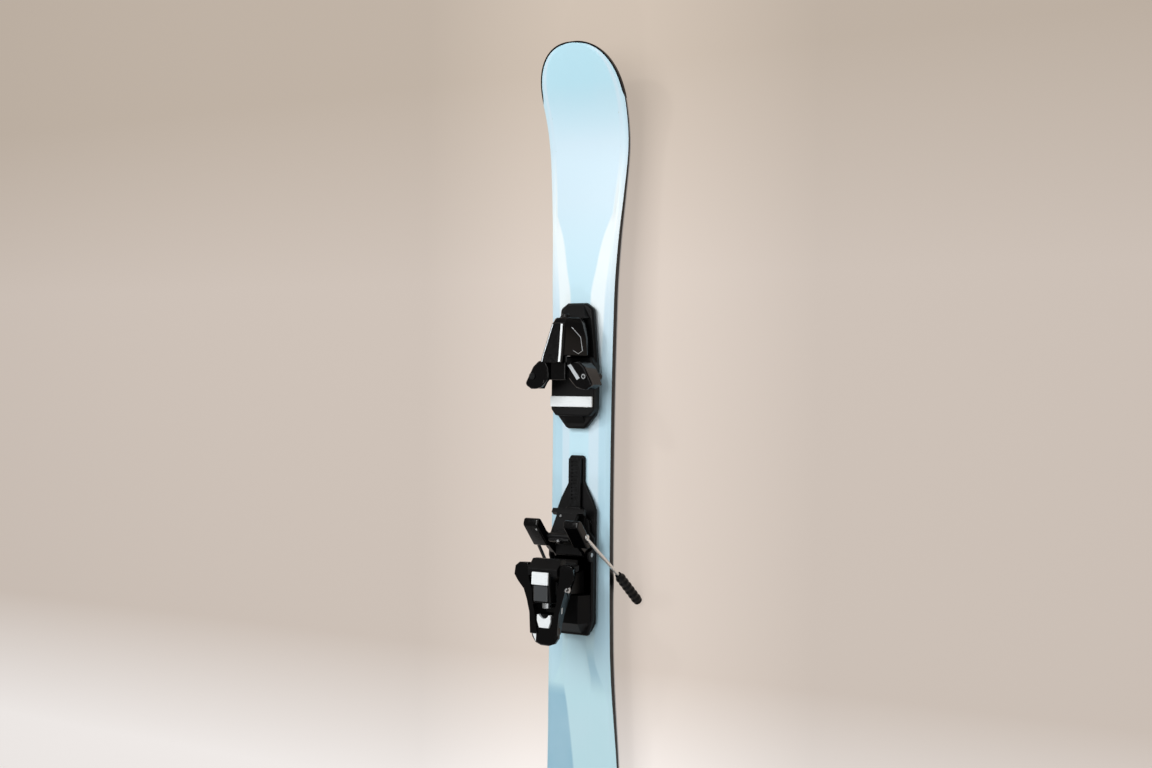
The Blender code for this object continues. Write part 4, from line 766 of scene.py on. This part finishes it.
# The least width of the film's hollow below, and the most that a rounded crease takes of a face
INNER_SHARE = 0.6
CREASE_SHARE = 0.4
# Cross-sections between the rounded ends, in each rounded end and round each guard
MIDDLE_STATIONS = 110
END_STATIONS = 26
GUARD_STATIONS = 48
# Small distances that keep the guards and the base clear of what lies beside them
GUARD_START = 0.15 * MM
GUARD_INSET = 0.1 * MM
BASE_INSET = 0.4 * MM

# The film's zones: how wide they fade into each other, and where the deep blue painted shade behind the
# heel piece lies
ZONE_BLEND = 0.0020
SHADE_START_X = -0.2340
SHADE_LEFT_BLEND = 0.0120
SHADE_RIGHT = 0.85
SHADE_RIGHT_X = -0.2130
SHADE_RIGHT_HALF = 0.0300


def between(table, x):
    """Smooth value at x through the (x, value) pairs of a table in rising x."""
    if x <= table[0][0]:
        return table[0][1]
    if x >= table[-1][0]:
        return table[-1][1]
    slopes = []
    for i in range(len(table)):
        low = table[max(i - 1, 0)]
        high = table[min(i + 1, len(table) - 1)]
        slopes.append((high[1] - low[1]) / (high[0] - low[0]))
    i = next(i for i in range(len(table) - 1) if x <= table[i + 1][0])
    (x0, y0), (x1, y1) = table[i], table[i + 1]
    span = x1 - x0
    t = (x - x0) / span
    value = (1 + 2 * t) * (1 - t) ** 2 * y0 + t * t * (3 - 2 * t) * y1
    return value + (t * (1 - t) ** 2 * slopes[i] - t * t * (1 - t) * slopes[i + 1]) * span


def ease(t):
    """A smooth step from 0 to 1."""
    t = min(max(t, 0), 1)
    return t * t * (3 - 2 * t)


def half_width(x, inset=0.0):
    """Half the ski's width at x, less an inset that also draws in its rounded ends."""
    if x > TIP_ROUND_X:
        reach = min((x - TIP_ROUND_X) / (TIP_X - TIP_ROUND_X - inset), 1)
        return (TIP_HALF - inset) * (1 - reach**TIP_SQUARENESS) ** (1 / TIP_SQUARENESS)
    if x < TAIL_ROUND_X:
        reach = min((TAIL_ROUND_X - x) / (TAIL_ROUND_X - TAIL_X - inset), 1)
        return (TAIL_HALF - inset) * (1 - reach**TAIL_SQUARENESS) ** (1 / TAIL_SQUARENESS)
    return between(SIDECUT, x) - inset


def lift(x):
    """Height of the running surface at x: camber, contact lines and turned-up ends."""
    height = -CAMBER * ease((abs(x) - FLAT_ZONE_X) / (CONTACT_X - FLAT_ZONE_X))
    past = x - CONTACT_X
    if past > 0:
        bend = min(past, TIP_BEND_LENGTH) / TIP_BEND_LENGTH
        slope = 2 * TIP_BEND_DROP / TIP_BEND_LENGTH
        height += TIP_BEND_DROP * bend**2 + slope * max(past - TIP_BEND_LENGTH, 0)
    past = TAIL_CONTACT_X - x
    if past > 0:
        height += TAIL_RISE * (past / (TAIL_CONTACT_X - TAIL_X)) ** 2
    return height


def thinned(x, sizes):
    """A size at x that runs from its value in the middle to its value near the ends."""
    share = ease((abs(x) - THIN_FROM_X) / (THIN_TO_X - THIN_FROM_X))
    return sizes[0] + (sizes[1] - sizes[0]) * share


def side_top(x):
    """Height of the sidewalls' top over the running surface at x."""
    return thinned(x, SIDE_HEIGHT)


def end_share(x):
    """0 between the rounded ends, rising to 1 a little past the start of each."""
    past = max(x - TIP_ROUND_X, TAIL_ROUND_X - x, 0)
    return min(past / END_INSET_LENGTH, 1)


def top_profile(x, inset=0.0):
    """The (y, z) creases of the top's left half at x: rim, shelf's edge, spine's foot and crest."""
    half = half_width(x, inset)
    shelf = thinned(x, SHELF_HEIGHT)
    spine = shelf + thinned(x, SPINE_RAISE)
    shelf_half = half - min(thinned(x, BEVEL_WIDTH), BEVEL_SHARE * half)
    foot = min(between(SPINE_FOOT_HALF, x), FOOT_SHARE * shelf_half)
    crest = min(between(SPINE_TOP_HALF, x), CREST_SHARE * foot)
    return (half, side_top(x)), (shelf_half, shelf), (foot, shelf), (crest, spine)


def stations(start, end):
    """X values from one end of a layer to the other, closer together where the outline turns."""
    turns = [i * math.pi / 2 / END_STATIONS for i in range(END_STATIONS + 1)]
    found = []
    if start < TAIL_ROUND_X:
        found += [TAIL_ROUND_X + (start - TAIL_ROUND_X) * math.cos(turn) for turn in turns[:-1]]
    low, high = max(start, TAIL_ROUND_X), min(end, TIP_ROUND_X)
    found += [low + (high - low) * i / MIDDLE_STATIONS for i in range(MIDDLE_STATIONS + 1)]
    if end > TIP_ROUND_X:
        found += [TIP_ROUND_X + (end - TIP_ROUND_X) * math.sin(turn) for turn in turns[1:]]
    return found


def rounded_line(points, radius):
    """A line of (y, z) points with three points at each inner corner."""
    made = [points[0]]
    for before, corner, after in zip(points, points[1:], points[2:]):
        corner = Vector(corner)
        back, on = Vector(before) - corner, Vector(after) - corner
        first = corner + back.normalized() * min(radius, back.length * CREASE_SHARE)
        last = corner + on.normalized() * min(radius, on.length * CREASE_SHARE)
        made += [tuple(first), tuple(first * 0.25 + corner * 0.5 + last * 0.25), tuple(last)]
    return made + [points[-1]]


def film_zones(x, y):
    """How far a point of the film lies on a flank, on a shelf and in the painted shade behind the heel
    piece, each from 0 to 1.
    """
    foot, crest = top_profile(x)[2:]
    past_crest = ease(0.5 + (abs(y) - crest[0]) / ZONE_BLEND)
    past_foot = ease(0.5 + (abs(y) - foot[0]) / ZONE_BLEND)
    if y > 0:
        painted_shade = past_crest * ease((SHADE_START_X - x) / SHADE_LEFT_BLEND)
    else:
        nearness = ease(1 - abs(x - SHADE_RIGHT_X) / SHADE_RIGHT_HALF)
        painted_shade = SHADE_RIGHT * past_crest * (1 - past_foot) * nearness
    return {"flank": past_crest, "shelf": past_foot, "painted_shade": painted_shade}


class SKI_OT_topsheet(bpy.types.Operator):
    """Makes the printed film over the ski's faceted top"""

    bl_idname = "race_ski.topsheet"
    bl_label = "Top film"

    def execute(self, context):
        crease = context.scene.race_ski_sizes.crease
        rings = []
        for x in stations(TAIL_X + END_RIM + LAYER_GAP, TIP_X - END_RIM - LAYER_GAP):
            rim, shelf_edge, foot, crest = top_profile(x, END_RIM * end_share(x))
            rim = (rim[0], rim[1] + LAYER_GAP)
            left = [rim, shelf_edge, foot, crest, (0, crest[1])]
            line = rounded_line(left, crease)
            upper = [(x, y, z + lift(x)) for y, z in line]
            upper += [(x, -y, z + lift(x)) for y, z in reversed(line[:-1])]
            inner_half = max(shelf_edge[0] - TOPSHEET_THICKNESS, INNER_SHARE * shelf_edge[0])
            low = shelf_edge[1] - TOPSHEET_THICKNESS
            inner = [(inner_half, rim[1]), (inner_half, low)]
            lower = [(x, -y, z + lift(x)) for y, z in inner]
            lower += [(x, y, z + lift(x)) for y, z in reversed(inner)]
            rings.append(upper + lower)
        film = finish_piece(swept(rings), "top_film", "ski", "film", ("topsheet",), FILM_SHARP_ANGLE)
        for zone in ("flank", "shelf", "painted_shade"):
            film.data.attributes.new(zone, "FLOAT", "POINT")
        for i, vert in enumerate(film.data.vertices):
            for zone, share in film_zones(vert.co.x, vert.co.y).items():
                film.data.attributes[zone].data[i].value = share
        return {"FINISHED"}


def strip_rings(side, width, low, high):
    """Rings of a strip along one side of the ski; low and high are functions of x."""
    rings = []
    for x in stations(TAIL_ROUND_X, TIP_ROUND_X):
        outer = side * half_width(x)
        inner = side * (half_width(x) - width)
        bottom, top = low(x) + lift(x), high(x) + lift(x)
        rings.append([(x, inner, bottom), (x, outer, bottom), (x, outer, top), (x, inner, top)])
    return rings


def guard_rings(round_x, end_x):
    """Rings of the rim round one end of the ski, which is an arc as seen from above."""
    forward = math.copysign(1, end_x - round_x)
    rings = []
    for i in range(GUARD_STATIONS + 1):
        angle = math.pi * (i / GUARD_STATIONS - 0.5)
        side, reach = math.sin(angle), math.cos(angle)
        points = []
        for inset in (0.0, EDGE_WIDTH):
            x = round_x + (end_x - forward * (inset + GUARD_INSET) - round_x) * reach
            points.append((x, math.copysign(half_width(x, inset), side) if side else 0.0))
        (x_out, y_out), (x_in, y_in) = points
        high = side_top(x_out)
        rings.append(
            [
                (x_in, y_in, lift(x_in)),
                (x_out, y_out, lift(x_out)),
                (x_out, y_out, lift(x_out) + high),
                (x_in, y_in, lift(x_in) + high),
            ]
        )
    return rings


class SKI_OT_sides(bpy.types.Operator):
    """Makes the sidewalls, the steel edges and the guards round both ends"""

    bl_idname = "race_ski.sides"
    bl_label = "Sidewalls and edges"

    def execute(self, context):
        for name, side in (("left", 1), ("right", -1)):
            rings = strip_rings(side, EDGE_WIDTH, lambda x: 0, lambda x: EDGE_HEIGHT)
            finish_piece(swept(rings), f"steel_edge_{name}", "ski", "edge", (f"edge_{name}",))
            rings = strip_rings(side, SIDEWALL_WIDTH, lambda x: SIDEWALL_BOTTOM, side_top)
            finish_piece(swept(rings), f"side_{name}", "ski", "sidewall", (f"sidewall_{name}",))
        rings = guard_rings(TIP_ROUND_X + GUARD_START, TIP_X)
        finish_piece(swept(rings), "tip_rim", "ski", "sidewall", ("tip_guard",))
        rings = guard_rings(TAIL_ROUND_X - GUARD_START, TAIL_X)
        finish_piece(swept(rings), "tail_rim", "ski", "sidewall", ("tail_guard",))
        return {"FINISHED"}


class SKI_OT_base(bpy.types.Operator):
    """Makes the running base"""

    bl_idname = "race_ski.base"
    bl_label = "Running base"

    def execute(self, context):
        inset = EDGE_WIDTH + LAYER_GAP
        rings = []
        for x in stations(TAIL_X + inset + BASE_INSET, TIP_X - inset - BASE_INSET):
            half = half_width(x, inset)
            low, high = lift(x), lift(x) + BASE_THICKNESS
            rings.append([(x, -half, low), (x, half, low), (x, half, high), (x, -half, high)])
        finish_piece(swept(rings), "running_base", "ski", "base", ("base_sheet",))
        return {"FINISHED"}


class SKI_OT_inner_layers(bpy.types.Operator):
    """Gives the core and the laminates their finishes"""

    bl_idname = "race_ski.inner_layers"
    bl_label = "Core and laminates"

    def execute(self, context):
        dressed("core", "wood")
        dressed("lower_laminate", "fibre")
        dressed("upper_laminate", "fibre")
        return {"FINISHED"}


FINE_ROUND = 0.3 * MM
INLAY_ROUND = 0.25 * MM
# Finish, width of the rounded edges and nodes; the width in the settings stands where there is none
MOULDINGS = (
    ("matte", None, ("toe_base", "heel_track", "heel_carriage", "heel_cup", "brake_pedal")),
    ("gloss", FINE_ROUND, ("brake_shoe_left", "brake_shoe_right")),
    ("gloss", None, ("toe_housing", "toe_cover")),
    ("gloss", FINE_ROUND, ("wing_left", "wing_right", "heel_lever")),
    ("white", INLAY_ROUND, ("toe_rest", "heel_front_trim", "lever_trim", "heel_setting_mark")),
    ("window", FINE_ROUND, ("heel_window",)),
)


class SKI_OT_mouldings(bpy.types.Operator):
    """Rounds the edges of the moulded pieces of the toe piece, the heel piece and the brake"""

    bl_idname = "race_ski.mouldings"
    bl_label = "Moulded pieces"

    def execute(self, context):
        for finish, width, names in MOULDINGS:
            for name in names:
                softened(name, finish, width or context.scene.race_ski_sizes.edge_round)
        # The claws keep their CAD shape.
        for name in ("brake_claw_left", "brake_claw_right"):
            dressed(name, "matte")
        return {"FINISHED"}


# Nodes with a metal of their own; all other metal is zinc-plated
METALS = {
    "brake_arm_right": "wire",
    # Painted shade: this arm is the same wire as the right one, but takes the blackened steel to stand
    # in for the shade it lies in.
    "brake_arm_left": "black_steel",
    "heel_rail": "black_steel",
    "heel_spring": "wire",
    "pressure_spring": "wire",
    "toe_setting_screw": "black_steel",
    "toe_spring_nut": "brass",
    "wing_pin_left": "black_steel",
    "wing_pin_right": "black_steel",
}


def is_finished(part):
    """Whether a CAD node has its finish, or is hidden because a piece stands for it."""
    return part.hide_render or (part.data.materials and part.data.materials[0] in _made.values())


class SKI_OT_metal(bpy.types.Operator):
    """Gives the screws, pins, springs and the rail their metals"""

    bl_idname = "race_ski.metal"
    bl_label = "Metal pieces"

    def execute(self, context):
        shape = cad_shape("toe_spring")
        coils = finish_piece(shape, "toe_spring_coils", None, "wire", ("toe_spring",))
        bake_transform(coils)
        for name, part in frame["nodes"].items():
            if not is_finished(part):
                dressed(name, METALS.get(name, "zinc"))
        return {"FINISHED"}


# Small trim, by its place on the pieces

UP = (0, 0, 1)
# X, Y of the top edge and Z of the toe cover's top
COVER_EDGE = (
    (0.1216, 0.0129, 0.0720),
    (0.1290, 0.0124, 0.0700),
    (0.1480, 0.0096, 0.0638),
    (0.1628, 0.0076, 0.0592),
)
# Name, side, distance from the cover's edge, width and finish
COVER_STRIPES = (("left", 1, 0.0010, 0.0010, "silver"), ("right", -1, 0.0010, 0.0024, "white"))
STRIPE_RISE = 0.15 * MM
# Corners as seen from above, anticlockwise
WING_STRIPE = (
    (0.1023, -0.0244, 0.0575),
    (0.1045, -0.0281, 0.0575),
    (0.1195, -0.0165, 0.0575),
    (0.1182, -0.0125, 0.0575),
)
WING_RING = (0.1062, -0.0334, 0.0588)
PANEL_RIM = (
    (0.1595, -0.0123, 0.0505),
    (0.1489, -0.0192, 0.0431),
    (0.1340, -0.0208, 0.0414),
    (0.1306, -0.0195, 0.0478),
    (0.1341, -0.0165, 0.0535),
)
PANEL_NORMAL = (0.12, -0.88, 0.45)
PANEL_RIM_RADIUS = 0.42 * MM
LEVER_RING = (-0.1208, -0.0285, 0.0779)
LEVER_RING_NORMAL = (-0.60, -0.76, 0.22)
LEVER_SLOT = ((-0.1408, -0.0204, 0.0752), (-0.1474, -0.0183, 0.0725))
LEVER_SLOT_NORMAL = (-0.23, -0.97, -0.12)
LEVER_SLOT_WIDTH = 1.8 * MM
# Painted highlight: a white patch on the lever's rear left corner, where a glint falls
LEVER_CORNER_HIGHLIGHT = (
    (-0.1702, 0.0102, 0.0785),
    (-0.1785, 0.0106, 0.0785),
    (-0.1702, 0.0150, 0.0785),
)
SHOE_CAP = (-0.0596, 0.0195, 0.0666)
SHOE_CAP_NORMAL = (-0.67, 0.0, 0.74)
PEDAL_CAPS = ((-0.0465, 0.0071, 0.0384), (-0.0721, -0.0009, 0.0550))
PEDAL_CAP_NORMAL = (0.53, 0.0, 0.85)
# Name, body, place, normal, radius, height and finish of the round caps
CAPS = (
    ("wing_ring", "ski", WING_RING, UP, 3.0 * MM, 0.2 * MM, "zinc"),
    ("wing_ring_middle", "ski", WING_RING, UP, 1.7 * MM, 0.35 * MM, "gloss"),
    ("lever_ring", "lever", LEVER_RING, LEVER_RING_NORMAL, 3.4 * MM, 0.5 * MM, "zinc"),
    ("lever_ring_middle", "lever", LEVER_RING, LEVER_RING_NORMAL, 2.2 * MM, 0.65 * MM, "gloss"),
    ("shoe_washer", "brake_arms", SHOE_CAP, SHOE_CAP_NORMAL, 2.4 * MM, 0.3 * MM, "black_steel"),
    ("shoe_cap", "brake_arms", SHOE_CAP, SHOE_CAP_NORMAL, 1.4 * MM, 0.8 * MM, "zinc"),
    ("pedal_cap_0", "pedal", PEDAL_CAPS[0], PEDAL_CAP_NORMAL, 1.6 * MM, 0.6 * MM, "zinc"),
    ("pedal_cap_1", "pedal", PEDAL_CAPS[1], PEDAL_CAP_NORMAL, 1.6 * MM, 0.6 * MM, "zinc"),
)
ARM_BALL = (-0.0663, -0.0345, 0.0508)
ARM_BALL_RADIUS = 3.2 * MM
ARM_BALL_SEGMENTS = (24, 16)


class SKI_OT_trim(bpy.types.Operator):
    """Adds the small plain trim: stripes, rings, caps, the ball on the right brake arm and a white
    painted highlight on the lever
    """

    bl_idname = "race_ski.trim"
    bl_label = "Small trim"

    def execute(self, context):
        for name, side, inset, width, finish in COVER_STRIPES:
            rings = []
            for x, edge, z in COVER_EDGE:
                outer, inner = side * (edge - inset), side * (edge - inset - width)
                low, high = z - CAP_SINK, z + STRIPE_RISE
                rings.append([(x, inner, low), (x, outer, low), (x, outer, high), (x, inner, high)])
            finish_piece(swept(rings), f"cover_stripe_{name}", "ski", finish)
        rim = raised_line(PANEL_RIM, PANEL_NORMAL, PANEL_RIM_RADIUS)
        finish_piece(rim, "panel_rim", "ski", "silver")
        flat_patch("wing_stripe", "toe_wing_right", WING_STRIPE, STRIPE_RISE, "silver")
        slot = band(*LEVER_SLOT, LEVER_SLOT_NORMAL, LEVER_SLOT_WIDTH)
        flat_patch("lever_slot", "lever", slot, STRIPE_RISE, "white")
        # Painted highlight: the white patch on the lever's corner stands in for a glint.
        flat_patch("lever_corner_highlight", "lever", LEVER_CORNER_HIGHLIGHT, STRIPE_RISE, "white")
        for cap in CAPS:
            round_cap(*cap)
        around, up_and_down = ARM_BALL_SEGMENTS
        shape = bmesh.new()
        bmesh.ops.create_uvsphere(
            shape, u_segments=around, v_segments=up_and_down, radius=ARM_BALL_RADIUS
        )
        bmesh.ops.translate(shape, verts=shape.verts, vec=ARM_BALL)
        finish_piece(shape, "arm_ball", "brake_arms", "wire")
        return {"FINISHED"}


# The stage

# The camera looks down from the ski's right, with the tip up; the frame's middle lies on the ski
CAMERA_TURN = math.radians(33)
CAMERA_ROLL = math.radians(0.65)
CAMERA_DISTANCE = 1.7778
FRAME_MIDDLE_X = 0.0980
FRAME_OFFSET = 0.011667
SENSOR_WIDTH = 36
FLOOR_HALF = 9
FLOOR_DROP = 0.1 * MM
# The floor's painted light and shade run along X from the first place to the second, in these shares of
# the way
FLOOR_FROM_X = -0.400
FLOOR_TO_X = 0.460
FLOOR_TONES = ((0.00, "floor_painted_light"), (0.21, "floor"), (0.72, "floor"), (1.00, "floor_painted_shade"))
# The middle of the floor is lighter by this gain, a painted pool of light that fades out between these
# distances from it
FLOOR_LIGHT_POOL_GAIN = (1.24, 1.24, 1.24)
FLOOR_LIGHT_POOL_FADE = (0.05, 0.26)
# What the paper reflects of its tone, and how strongly it glows in that tone
FLOOR_DIM = (0.45, 0.45, 0.45)
FLOOR_GLOW = 1.07
WORLD_COLOUR = "#F3EEE8"
WORLD_STRENGTH = 0.25
# Name, place, target, size, power in watts and colour of the lights
LIGHTS = (
    ("key", (0.78, 0.22, 2.05), (-0.05, 0, 0), (1.6, 1.6), 38, (1, 0.99, 0.98)),
    ("front", (-0.4, -1.5, 1.7), (0, 0, 0), (1.6, 1.2), 5.1, (1, 0.995, 0.99)),
    ("glint", (1.1, 0.7, 1.5), (0, 0, 0.04), (0.12, 0.12), 4.6, (1, 1, 1)),
    ("glint_rear", (-1.2, -0.2, 1.5), (-0.1, 0, 0.04), (0.12, 0.12), 3.0, (1, 1, 1)),
)


def area_light(name, place, target, size, power, colour):
    data = bpy.data.lights.new(name, "AREA")
    data.shape = "RECTANGLE"
    data.size, data.size_y = size
    data.energy = power
    data.color = colour
    made = bpy.data.objects.new(name, data)
    bpy.context.scene.collection.objects.link(made)
    made.location = place
    made.rotation_euler = (Vector(target) - Vector(place)).to_track_quat("-Z", "Y").to_euler()


def floor_paper(colours):
    """Backdrop paper that glows, with painted light along the ski and behind the tail and painted shade
    before the tip.
    """
    made, tree, shader, place = new_material("matte_backdrop_paper", colours.floor, Roughness=0.9)
    fibre = noise(tree, place, 1.5 * MM, 3)
    bumped(tree, shader, fibre, 0.05, 0.05 * MM)
    tones = [(spot, getattr(colours, name)) for spot, name in FLOOR_TONES]
    along = spread(tree, axis_value(tree, place, "X"), FLOOR_FROM_X, FLOOR_TO_X)
    across = {0: axis_value(tree, place, "Y")}
    aside = node(tree, "ShaderNodeMath", across, operation="ABSOLUTE").outputs["Value"]
    light_pool = mixed(tree, spread(tree, aside, *FLOOR_LIGHT_POOL_FADE), FLOOR_LIGHT_POOL_GAIN, (1, 1, 1))
    sheet = mixed(tree, 1, ramp(tree, along, tones), light_pool, "MULTIPLY")
    dim = mixed(tree, 1, sheet, FLOOR_DIM, "MULTIPLY")
    tree.links.new(dim, shader.inputs["Base Color"])
    # The paper glows in its own tone though it is no lamp: painted light that takes the weight out of
    # the shadows.
    tree.links.new(sheet, shader.inputs["Emission Color"])
    shader.inputs["Emission Strength"].default_value = FLOOR_GLOW
    return made


def add_floor(scene):
    """Adds the wide sheet of paper just below the lowest point of the ski."""
    shape = bmesh.new()
    bmesh.ops.create_grid(shape, x_segments=1, y_segments=1, size=FLOOR_HALF)
    bmesh.ops.translate(shape, verts=shape.verts, vec=(0, 0, CAD_LOW.z - FLOOR_DROP))
    data = bpy.data.meshes.new("floor")
    shape.to_mesh(data)
    shape.free()
    data.materials.append(floor_paper(scene.race_ski_colours))
    floor = bpy.data.objects.new("floor", data)
    scene.collection.objects.link(floor)
    floor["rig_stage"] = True


def add_world(scene):
    """Adds the even light that the pale walls of the studio give."""
    world = bpy.data.worlds.new("studio")
    world.use_nodes = True
    background = world.node_tree.nodes["Background"]
    background.inputs["Color"].default_value = (*linear(WORLD_COLOUR), 1)
    background.inputs["Strength"].default_value = WORLD_STRENGTH
    scene.world = world


def add_camera(scene):
    """Adds the camera above the ski's right side, turned so that the tip points up in the picture."""
    right = Vector((0, -math.cos(CAMERA_TURN), -math.sin(CAMERA_TURN)))
    up = Vector((1, 0, 0))
    back = Vector((0, -math.sin(CAMERA_TURN), math.cos(CAMERA_TURN)))
    c, s = math.cos(CAMERA_ROLL), math.sin(CAMERA_ROLL)
    target = Vector((FRAME_MIDDLE_X, 0, 0)) - right * FRAME_OFFSET
    data = bpy.data.cameras.new("camera")
    data.lens = scene.race_ski_sizes.lens / MM
    data.sensor_width = SENSOR_WIDTH
    camera = bpy.data.objects.new("camera", data)
    scene.collection.objects.link(camera)
    turn = Matrix((right * c + up * s, up * c - right * s, back)).transposed()
    camera.matrix_world = Matrix.Translation(target + back * CAMERA_DISTANCE) @ turn.to_4x4()
    scene.camera = camera


class SKI_OT_stage(bpy.types.Operator):
    """Makes the pale floor, the soft lights and the camera"""

    bl_idname = "race_ski.stage"
    bl_label = "Stage"

    def execute(self, context):
        scene = context.scene
        add_floor(scene)
        add_world(scene)
        for light in LIGHTS:
            area_light(*light)
        add_camera(scene)
        scene.view_settings.view_transform = "Standard"
        return {"FINISHED"}


class SKI_PT_panel(bpy.types.Panel):
    """The steps that dress the ski, in the order they run"""

    bl_idname = "SKI_PT_panel"
    bl_label = "Race ski"
    bl_space_type = "VIEW_3D"
    bl_region_type = "UI"
    bl_category = "Race ski"

    def draw(self, context):
        for operator in OPERATORS:
            self.layout.operator(operator.bl_idname)
        for group in (context.scene.race_ski_colours, context.scene.race_ski_sizes):
            for name in group.__annotations__:
                self.layout.prop(group, name)


OPERATORS = (
    SKI_OT_topsheet,
    SKI_OT_sides,
    SKI_OT_base,
    SKI_OT_inner_layers,
    SKI_OT_mouldings,
    SKI_OT_metal,
    SKI_OT_trim,
    SKI_OT_stage,
)
CLASSES = (SkiColours, SkiSizes, *OPERATORS, SKI_PT_panel)


def register():
    for item in CLASSES:
        bpy.utils.register_class(item)
    bpy.types.Scene.race_ski_colours = bpy.props.PointerProperty(type=SkiColours)
    bpy.types.Scene.race_ski_sizes = bpy.props.PointerProperty(type=SkiSizes)


def unregister():
    del bpy.types.Scene.race_ski_sizes
    del bpy.types.Scene.race_ski_colours
    for item in reversed(CLASSES):
        bpy.utils.unregister_class(item)


def main():
    register()
    for operator in OPERATORS:
        group, name = operator.bl_idname.split(".")
        getattr(getattr(bpy.ops, group), name)()


if __name__ == "__main__":
    main()
